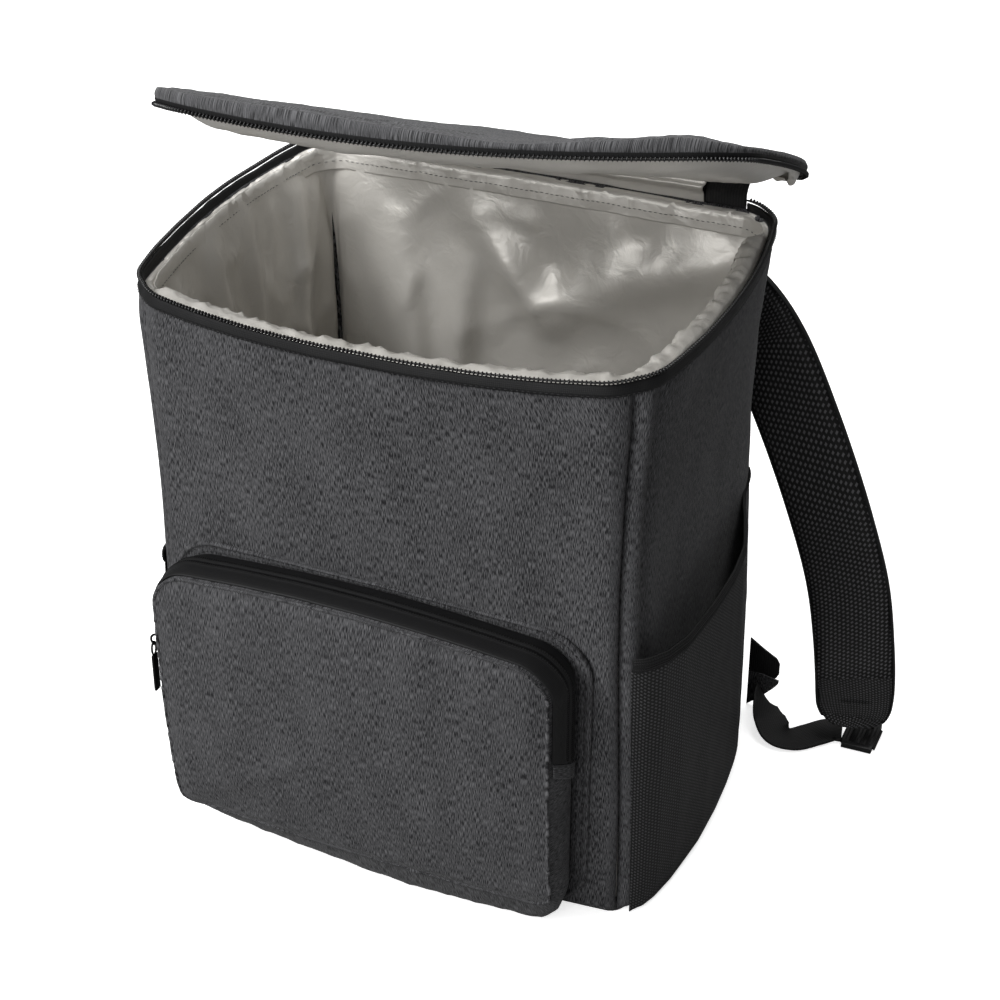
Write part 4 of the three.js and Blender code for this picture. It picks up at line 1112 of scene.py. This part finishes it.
def make_pocket_zip():
    first = place_at(1, ZIP_END)
    last = place_at(3, ZIP_END)
    start = (1 - TAPE_WIDTH / POCKET_REACH) / 2

    def strip(u, v):
        q = pocket_way(first + (last - first) * u, v)
        share = start + v * (1 - 2 * start)
        ridge = sum(RIDGE_HEIGHT * hump(v, row, 0.05) for row in RIDGES)
        groove = -RIDGE_HEIGHT * hump(v, 0.5, 0.022)
        edge = 0.4 * hump(min(v, 1 - v), 0, 0.04)
        point = gusset_point(q, share, REST_GAP + TAPE_WALL)
        lift = REST_GAP + TAPE_WALL + ridge + groove - edge + 0.25 * ripple(point, 22, 1.0)
        return gusset_point(q, share, lift)

    bm = laid(320, 36, strip, (640, TAPE_WIDTH))
    made("pocket_zip_cloth", bm, ZIP_TAPE, ["pocket_zip_tape"], wall=0.9)
    knots = []
    for row in RIDGES:
        share = start + row * (1 - 2 * start)

        def line(q, row=row, share=share):
            return gusset_point(pocket_way(q, row), share, REST_GAP + TAPE_WALL + 0.75)

        for q, point, along in way(line, first + 0.01, last - 0.01, 1.7):
            across = gusset_point(q, share + 0.05, 0) - gusset_point(q, share, 0)
            up = along.cross(across)
            knots.append(set_by(point, along, up, (0.85, 2.6, 0.7)))
    made("pocket_zip_ridges", beads(knots, "ico"), ZIP_TAPE)
    for name, ends in (("right", (place_at(1, ZIP_END - END_TAB_LENGTH), first - 0.004)),
                       ("left", (last + 0.004, place_at(3, ZIP_END - END_TAB_LENGTH)))):
        def tab(u, v, ends=ends):
            q = pocket_way(ends[0] + (ends[1] - ends[0]) * u, v)
            lift = REST_GAP + TAPE_WALL + 0.5 * math.sin(u * math.pi) ** 0.5
            return gusset_point(q, start + v * (1 - 2 * start), lift)

        bm = laid(14, 24, tab, (15, 31))
        made(f"pocket_end_tab_{name}_cloth", bm, BODY_CLOTH, [f"pocket_end_tab_{name}"], wall=0.9)


FLANGE_STITCH = (2.6, 0.55, 0.6)
FLANGE_STITCH_STEP = 3.6


def make_pocket_seams():
    """Two rows of stitches in the flange."""
    seam = []
    for inset in (4.6, 8.6):
        def line(q, inset=inset):
            x, z, _ = pocket_outline(q, inset * flange_at(q) / FLANGE_WIDTH)
            return Vector((x, -(front_at(x, z) + REST_GAP + FLANGE_WALL + 0.35), z))

        seam += way(line, 0, 4, FLANGE_STITCH_STEP)
    sew("pocket_flange_stitches", seam, Vector((0, -1, 0)), FLANGE_STITCH, THREAD)


# Pocket slider and pull
PULL_AT = Vector((-155.135, -160.29, 153.048))


def tube(points, radius, sides=10, closed=False):
    """A round wire through points, by spinning a ring of vertices from frame to frame."""
    bm = bmesh.new()
    rings = []
    count = len(points)
    for n, point in enumerate(points):
        ahead = points[(n + 1) % count] if closed or n < count - 1 else point
        behind = points[n - 1] if closed or n > 0 else point
        along = (ahead - behind).normalized()
        turn = Vector((0, 0, 1)).rotation_difference(along).to_matrix().to_4x4()
        matrix = Matrix.Translation(point * MM) @ turn
        ring = bmesh.ops.create_circle(bm, cap_ends=False, segments=sides, radius=radius * MM,
                                       matrix=matrix)
        rings.append(ring["verts"])
    pairs = list(zip(rings, rings[1:] + ([rings[0]] if closed else [])))
    for a, b in pairs[: count if closed else count - 1]:
        edges = [e for v in (*a, *b) for e in v.link_edges if e.other_vert(v) in (*a, *b)]
        ring_edges = [e for e in set(edges) if len(e.link_faces) < 2]
        bmesh.ops.bridge_loops(bm, edges=ring_edges)
    bmesh.ops.recalc_face_normals(bm, faces=bm.faces)
    return bm


def rounded_box(low, high, round_by):
    """A box between two corners with its edges rounded."""
    bm = bmesh.new()
    low, high = Vector(low), Vector(high)
    size = high - low
    matrix = Matrix.Translation((low + high) / 2 * MM) @ Matrix.Diagonal((*(size * MM), 1))
    bmesh.ops.create_cube(bm, size=1.0, matrix=matrix)
    bmesh.ops.bevel(bm, geom=bm.edges[:], offset=round_by * MM, segments=3, affect="EDGES",
                    profile=0.5, material=-1)
    return bm


def joined_meshes(parts):
    """Several meshes in one."""
    whole = bmesh.new()
    for part in parts:
        keep = bpy.data.meshes.new("part")
        part.to_mesh(keep)
        part.free()
        whole.from_mesh(keep)
        bpy.data.meshes.remove(keep)
    return whole


def make_pull():
    x, y, z = PULL_AT
    low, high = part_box("pocket_slider")
    low, high = low / MM, high / MM
    body = rounded_box((high.x - 3, low.y, low.z), (high.x, high.y, high.z), 0.9)
    arch = [Vector((high.x - 2.6 - 6.0 * math.sin(a) ** 0.8, (low.y + high.y) / 2,
                    (low.z + high.z) / 2 + 4.6 * math.cos(a)))
            for a in [n * math.pi / 14 for n in range(15)]]
    made("pocket_slider_metal", joined_meshes([body, tube(arch, 0.8)]), METAL, ["pocket_slider"])
    ring = [Vector((x, y + 2.6 * math.cos(a), z - 4.0 + 5.0 * math.sin(a)))
            for a in [n * 2 * math.pi / 20 for n in range(20)]]
    grip = rounded_box((x - 1.0, y - 3.1, z - 37), (x + 1.0, y + 3.1, z - 8.6), 0.8)
    made("pocket_pull_metal", joined_meshes([tube(ring, 0.75, closed=True), grip]), METAL,
         ["pocket_pull"], body="pull")
    low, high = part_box("rim_zip_slider")
    middle = (low + high) / 2 / MM
    block = rounded_box((-6.2, -2.6, -2.6), (6.2, 2.6, 2.6), 0.9)
    bmesh.ops.transform(block, matrix=Matrix.Translation(middle * MM)
                        @ Matrix.Rotation(math.pi / 4, 4, "Z"), verts=block.verts)
    made("rim_slider_metal", block, METAL, ["rim_zip_slider"])


# Mesh side pockets
def mesh_point(side, along, z, stand, lift):
    row = between(MESH_PLACES, along)
    full = row[2] + (row[1] - row[2]) * z / MESH_TOP
    if side == 3:
        full *= smooth((along - 0.1) / 0.5)
    edge = MESH_EDGE / BODY_DEPTH
    t = edge + along * (1 - 2 * edge)
    q = side + t if side == 1 else side + 1 - t
    return body_point(q, z, -(REST_GAP + lift + MESH_BULGE * stand * full))


def make_mesh_pocket(name, side):
    height = MESH_TOP - MESH_BAND - MESH_BOTTOM
    right = side == 1

    def cloth(u, v):
        along = u
        stand = between(MESH_ROWS, v)[1]
        z = MESH_BOTTOM + v * height
        point = mesh_point(side, along, z, stand, 0.8)
        ends = smooth(min(u, 1 - u) / 0.06)
        loose = ends * smooth(min(v, 1 - v) / 0.05)
        fold = 1.5 * loose * ripple(Vector((point.y, z * 0.25, 0)), 44, 2.0)
        slack = 0.5 * loose * ripple(Vector((point.y, z * 0.7, 0)), 18, 5.0)
        hug = 1.9 * smooth((u - 0.72) / 0.2)
        return mesh_point(side, along, z, stand, 0.9 - hug + max(-0.7, fold + slack))

    bm = laid(100, 72, cloth, (260, height), turned=not right)
    piece = made(f"{name}_knit", bm, KNIT, [name], wall=0.7)

    def band(u, v):
        z = MESH_TOP - MESH_BAND - 0.6 + v * (MESH_BAND + 0.8)
        bulge = 0.9 * math.sin(v * math.pi) ** 0.6
        ribs = 0.28 * math.cos(v * 5 * 2 * math.pi)
        hug = 2.6 * smooth((u - 0.72) / 0.2)
        return mesh_point(side, u, z, 1, 1.3 + bulge + ribs - hug)

    bm = laid(130, 40, band, (260, MESH_BAND), turned=not right)
    made(f"{name}_band_elastic", bm, WEBBING, [f"{name}_band"], wall=1.3)


# Straps
def spline(points, t):
    """A point of the centripetal curve through points, at a share t of its way."""
    at = t * (len(points) - 1)
    low = min(int(at), len(points) - 2)
    share = at - low
    p1, p2 = points[low], points[low + 1]
    p0 = points[low - 1] if low > 0 else p1 * 2 - p2
    p3 = points[low + 2] if low + 2 < len(points) else p2 * 2 - p1
    gaps = [max((b - a).length ** 0.5, 1e-4) for a, b in ((p0, p1), (p1, p2), (p2, p3))]
    start = ((p1 - p0) / gaps[0] - (p2 - p0) / (gaps[0] + gaps[1]) + (p2 - p1) / gaps[1]) * gaps[1]
    end = ((p2 - p1) / gaps[1] - (p3 - p1) / (gaps[1] + gaps[2]) + (p3 - p2) / gaps[2]) * gaps[1]
    square, cube = share**2, share**3
    return (p1 * (2 * cube - 3 * square + 1) + start * (cube - 2 * square + share)
            + p2 * (3 * square - 2 * cube) + end * (cube - square))


def ribbon(points, looks, widths):
    """place(t, across, up) of a ribbon: across from -1 to 1 and up in millimetres off its face."""

    def place(t, across, up):
        t = min(max(t, 0.0), 1.0)
        step = 0.002
        here = spline(points, t)
        along = (spline(points, min(t + step, 1)) - spline(points, max(t - step, 0))).normalized()
        look = spline(looks, t)
        look = (look - along * look.dot(along)).normalized()
        at = t * (len(widths) - 1)
        low = min(int(at), len(widths) - 2)
        width = widths[low] + (widths[low + 1] - widths[low]) * (at - low)
        return here + along.cross(look) * (across * width / 2) + look * up

    return place


STRAP_REST = sum((body_shape(STRAP_TOP - STRAP_WIDTH / 2, 0)[1],
                  body_shape(STRAP_TOP - STRAP_WIDTH / 2, 0)[3][2], REST_GAP, STRAP_THICK / 2))
STRAP_LENGTH = 455


def strap_place(hand):
    points = [Vector((hand * (STRAP_SPREAD + out * STRAP_REACH), STRAP_REST - ahead * STRAP_AHEAD,
                      STRAP_TOP + (STRAP_FLOOR - STRAP_TOP) * down))
              for out, down, ahead, _, _ in STRAP_LINE]
    looks = [Vector((hand * tip, -1, tip)) for *_, tip in STRAP_LINE]
    return ribbon(points, looks, [wide * STRAP_WIDTH for *_, wide, _ in STRAP_LINE])


def cushion(u):
    """Round the strap's section: u from 0 to 1 gives across (-1 to 1) and up (-1 to 1)."""
    angle = 2 * math.pi * u
    across = math.copysign(abs(math.cos(angle)) ** 0.42, math.cos(angle))
    up = math.copysign(abs(math.sin(angle)) ** 0.75, math.sin(angle))
    return across, up


def cushion_lay(length):
    """Where the cloth round a pad lies when it is flat, both faces side by side."""
    def lay(u, v):
        across, up = cushion(u)
        return (across + math.copysign(3, up)) * STRAP_WIDTH / 2, v * length

    return lay


ROUND_FROM = 0.93
END_NARROW = 0.35
PATCH_FROM = 0.868
PATCH_SHARE = 0.1
PATCH_SEAM = 0.865
PATCH_SLOT = 0.925


def end_width(t):
    """How wide the pad is, as a share: it is rounded off near its lower end."""
    into = max(0.0, (t - ROUND_FROM) / (1 - ROUND_FROM))
    return END_NARROW + (1 - END_NARROW) * math.sqrt(max(0.0, 1 - into**2))


def make_strap(name, hand):
    ribbon_at = strap_place(hand)

    def pad(u, v):
        across, up = cushion(u)
        end = smooth((1 - v) / 0.05)
        across *= 0.97 * end_width(v)
        edge = 0.5 + 0.5 * min(1.0, (1 - abs(across)) / 0.22)
        start = smooth(v / 0.03)
        thick = STRAP_THICK / 2 * edge * (0.55 + 0.45 * end) * (0.8 + 0.2 * start)
        patch = 1 - 0.22 * hump(v, PATCH_SEAM, 0.008) * (1 if abs(across) < 0.9 else 0)
        slot_mark = 0.45 * hump(v, PATCH_SLOT, 0.006) * (1 if abs(across) < 0.4 else 0)
        point = ribbon_at(v, across, 0)
        lumps = 0.35 * ripple(point, 24, 3.0) * (1 - abs(across)) * 2
        return ribbon_at(v, across, up * (thick * (patch - slot_mark) + lumps))

    bm = laid(64, 200, pad, (1, 1), ring=True, turned=hand < 0, lay=cushion_lay(STRAP_LENGTH))
    close_ends(bm)
    piece = made(f"strap_pad_{name}_mesh", bm, SPACER, [f"strap_pad_{name}"])

    def lower(u, v):
        across = (u * 2 - 1) * 0.93
        t = PATCH_FROM + PATCH_SHARE * v
        across *= end_width(t)
        edge = 0.5 + 0.5 * min(1.0, (1 - abs(across)) / 0.22)
        end = smooth((1 - t) / 0.05)
        slot_mark = 1.8 * hump(t, PATCH_SLOT, 0.005) * math.exp(-((across / 0.42) ** 4))
        up = STRAP_THICK / 2 * edge * (0.55 + 0.45 * end) + 0.55 - slot_mark
        return ribbon_at(t, across, up)

    bm = laid(60, 60, lower, (56, 46), turned=hand < 0)
    made(f"strap_patch_{name}_mesh", bm, FINE_SPACER, wall=0.5)
    make_piping(name, ribbon_at)
    make_adjuster(name, hand)
    make_webbing(name, hand)
    make_tab(name, hand)


def make_piping(name, ribbon_at):
    """Folded binding along both edges of the pad."""
    def side_edge(side):
        def binding(u, v):
            t = 0.004 + v * 0.972
            reach = side * 0.985 * end_width(t)
            angle = 2 * math.pi * u
            centre = ribbon_at(t, reach, 0)
            out = (ribbon_at(t, reach * 1.02, 0) - centre).normalized()
            up = (ribbon_at(t, reach, 1) - centre).normalized()
            return centre + out * 1.1 * math.cos(angle) + up * 2.9 * math.sin(angle)
        return binding

    for label, side in (("outer", 1), ("inner", -1)):
        bm = laid(12, 150, side_edge(side), (8, STRAP_LENGTH), ring=True)
        close_ends(bm)
        made(f"strap_binding_{name}_{label}", bm, ZIP_TAPE)


YOKE_REACH = 46


def make_yoke():
    spots = (-YOKE_REACH, -20, 20, YOKE_REACH)
    place = ribbon([Vector((x, STRAP_REST, STRAP_TOP)) for x in spots],
                   [Vector((0, -1, 0))] * 4, [STRAP_WIDTH * 0.78] * 4)

    def pad(u, v):
        across, up = cushion(u)
        end = 0.75 + 0.25 * smooth(min(v, 1 - v) / 0.1)
        return place(v, across * 0.96, up * STRAP_THICK / 2 * 0.92 * end)

    bm = laid(48, 40, pad, (1, 1), ring=True, lay=cushion_lay(2 * YOKE_REACH))
    close_ends(bm)
    piece = made("strap_yoke_mesh", bm, SPACER, ["strap_yoke"])


ADJUSTER_X = STRAP_SPREAD + STRAP_REACH + ADJUSTER_OUT
ADJUSTER_Y = STRAP_REST - STRAP_AHEAD + ADJUSTER_BACK
TAB_X = body_shape(TAB_HEIGHT / 2, 0)[0] + MESH_WALL + TAB_STAND
TAB_Y = body_shape(TAB_HEIGHT / 2, 0)[1] - TAB_AHEAD
THREADED_LENGTH = 26
BAR_SPACING = 9
ANCHOR_RISE = 28
TAB_ROWS = [
    # share of the reach, foot and top of the tab, foot and top of the webbing folded over it
    (0.0, 0.0, 1.0, 0.0, 1.0),
    (0.45, 0.3, 0.95, -0.03, 0.75),
    (0.9, 0.68, 0.88, -0.1, 0.52),
    (1.0, 0.8, 0.86, 0.06, 0.36),
]


def make_adjuster(name, hand):
    bm = bmesh.new()
    bm.from_mesh(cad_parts[f"adjuster_{name}"].data)
    bmesh.ops.remove_doubles(bm, verts=bm.verts, dist=0.01 * MM)
    bmesh.ops.dissolve_limit(bm, angle_limit=0.02, verts=bm.verts, edges=bm.edges)
    bmesh.ops.bevel(bm, geom=bm.edges[:], offset=0.7 * MM, segments=3, affect="EDGES", profile=0.5,
                    material=-1, clamp_overlap=True)
    made(f"adjuster_{name}_plastic", bm, ACETAL, [f"adjuster_{name}"])

    def threaded(u, v):
        x = (v - 0.5) * THREADED_LENGTH
        weave = 1.5 * math.cos(x / BAR_SPACING * 2 * math.pi)
        y = ADJUSTER_Y + (u * 2 - 1) * WEBBING_WIDTH / 2 * 0.94
        return Vector((hand * (ADJUSTER_X + x), y, 3.2 + weave))

    bm = laid(16, 60, threaded, (WEBBING_WIDTH, 40), turned=hand > 0)
    made(f"adjuster_webbing_{name}_woven", bm, WEBBING, wall=1.2)


def make_webbing(name, hand):
    start = Vector((ADJUSTER_X - ADJUSTER_LENGTH / 2 - ADJUSTER_GAP, ADJUSTER_Y))
    stop = Vector((TAB_X + TAB_REACH / 2, TAB_Y - WEBBING_WALL - REST_GAP))
    points = []
    for share, ahead, lift, _ in WEBBING_LINE:
        x, y = start.lerp(stop, share)
        points.append(Vector((hand * x, y - ahead * WEBBING_AHEAD,
                              WEBBING_HEIGHT + lift * TAB_HEIGHT)))
    looks = [Vector((hand * edge, -edge, 1 - edge)) for *_, edge in WEBBING_LINE]
    ribbon_at = ribbon(points, looks, [WEBBING_WIDTH] * len(points))

    def strip(u, v):
        selvedge = 0.35 * hump(min(u, 1 - u), 0, 0.06)
        return ribbon_at(v, (u * 2 - 1) * 0.99, WEBBING_WALL / 2 - 0.25 + selvedge)

    bm = laid(20, 90, strip, (WEBBING_WIDTH, 110), turned=hand < 0)
    made(f"strap_webbing_{name}_woven", bm, WEBBING, [f"strap_webbing_{name}"], wall=1.5)


def make_tab(name, hand):
    def flat_piece(foot, rise, column, puff):
        def place(u, v):
            low, high = between(TAB_ROWS, u)[column : column + 2]
            bulge = puff * math.sin(u * math.pi) * math.sin(v * math.pi)
            return Vector((hand * (TAB_X + u * TAB_REACH), TAB_Y + 0.1 - bulge,
                           foot + (low + (high - low) * v) * rise))
        return place

    pieces = [
        # piece, node, finish, wall, cloth's length, then foot, rise, column of the rows and puff
        ("strap_tab_{}_cloth", "strap_tab_{}", BODY_CLOTH, 2.2, TAB_HEIGHT,
         (REST_GAP, TAB_HEIGHT - REST_GAP, 1, 0.7)),
        ("webbing_anchor_{}_woven", "webbing_anchor_{}", WEBBING, 1.8, ANCHOR_RISE,
         (TAB_HEIGHT + REST_GAP, ANCHOR_RISE, 3, 0.8)),
    ]
    for piece, node, finish, wall, length, shape in pieces:
        bm = laid(24, 24, flat_piece(*shape), (TAB_REACH, length), turned=hand < 0)
        made(piece.format(name), bm, finish, [node.format(name)], wall=wall)


# Camera, floor and light
def make_studio():
    right = Vector((math.cos(VIEW_AZIMUTH), math.sin(VIEW_AZIMUTH), 0))
    back = Vector((math.sin(VIEW_AZIMUTH) * math.cos(VIEW_ELEVATION),
                   -math.cos(VIEW_AZIMUTH) * math.cos(VIEW_ELEVATION), math.sin(VIEW_ELEVATION)))
    up = back.cross(right)
    middle = VIEW_MIDDLE + right * VIEW_RIGHT_OF_MIDDLE + up * VIEW_ABOVE_MIDDLE
    lens = bpy.data.cameras.new("camera")
    lens.lens = VIEW_LENS
    lens.sensor_width = 36
    lens.clip_start = 0.05
    camera = bpy.data.objects.new("camera", lens)
    camera.matrix_world = (Matrix.Translation((middle + back * VIEW_DISTANCE) * MM)
                           @ Matrix((right, up, back)).transposed().to_4x4())
    bpy.context.collection.objects.link(camera)
    bpy.context.scene.camera = camera

    bm = bmesh.new()
    bmesh.ops.create_grid(bm, x_segments=2, y_segments=2, size=6)
    mesh = bpy.data.meshes.new("floor")
    bm.to_mesh(mesh)
    bm.free()
    floor = bpy.data.objects.new("floor", mesh)
    bpy.context.collection.objects.link(floor)
    # White paper as the eye sees it, but it throws little light back on the cloth.
    shader = {"Base Color": linear("#fbfbfb"), "Roughness": 0.9,
              "Emission Color": linear("#ffffff"), "Emission Strength": 0.7}
    paper, tree, white = finish_of("paper backdrop", shader)
    grey = add(tree, "BsdfDiffuse", {"Color": linear("#8c8c8c")})
    out = next(node for node in tree.nodes if node.type == "OUTPUT_MATERIAL")
    look = add(tree, "MixShader", links={0: add(tree, "LightPath").outputs["Is Camera Ray"],
                                         1: grey.outputs[0], 2: white.outputs[0]})
    tree.links.new(look.outputs[0], out.inputs["Surface"])
    mesh.materials.append(paper)
    floor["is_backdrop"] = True

    world = bpy.data.worlds.new("studio")
    world.use_nodes = True
    tree = world.node_tree
    tree.nodes.clear()
    room = add(tree, "Background", {"Color": linear("#ffffff"), "Strength": 0.2})
    seen = add(tree, "Background", {"Color": linear("#ffffff"), "Strength": 1.0})
    ray = add(tree, "LightPath")
    both = add(tree, "MixShader", links={0: ray.outputs["Is Camera Ray"],
                                         1: room.outputs[0], 2: seen.outputs[0]})
    add(tree, "OutputWorld", links={"Surface": both.outputs[0]})
    bpy.context.scene.world = world
    bpy.context.scene.view_settings.view_transform = "Standard"
    lamps = [
        # name, place, size, strength, all in metres and watts
        ("key", (-1.5, -1.9, 2.5), 1.3, 84),
        ("front", (-0.4, -2.8, 1.6), 2.0, 52),
        ("top", (0.2, 0.9, 2.6), 1.4, 44),
    ]
    for name, place, size, strength in lamps:
        lamp = bpy.data.lights.new(name, "AREA")
        lamp.size = size
        lamp.energy = strength
        stand = bpy.data.objects.new(name, lamp)
        stand.location = place
        aim = Vector((0, 0, 0.25)) - Vector(place)
        stand.rotation_euler = aim.to_track_quat("-Z", "Y").to_euler()
        bpy.context.collection.objects.link(stand)


make_studio()
make_body()
make_rim_zip()
make_lining()
make_lid()
make_lid_binding()
make_hinge()
make_pocket()
make_pull()
make_mesh_pocket("mesh_pocket_right", 1)
make_mesh_pocket("mesh_pocket_left", 3)
make_yoke()
make_strap("right", 1)
make_strap("left", -1)

boxes = {"cad": cad_box, "visual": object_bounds()}
{key: [list(corner) for corner in box] for key, box in boxes.items()}
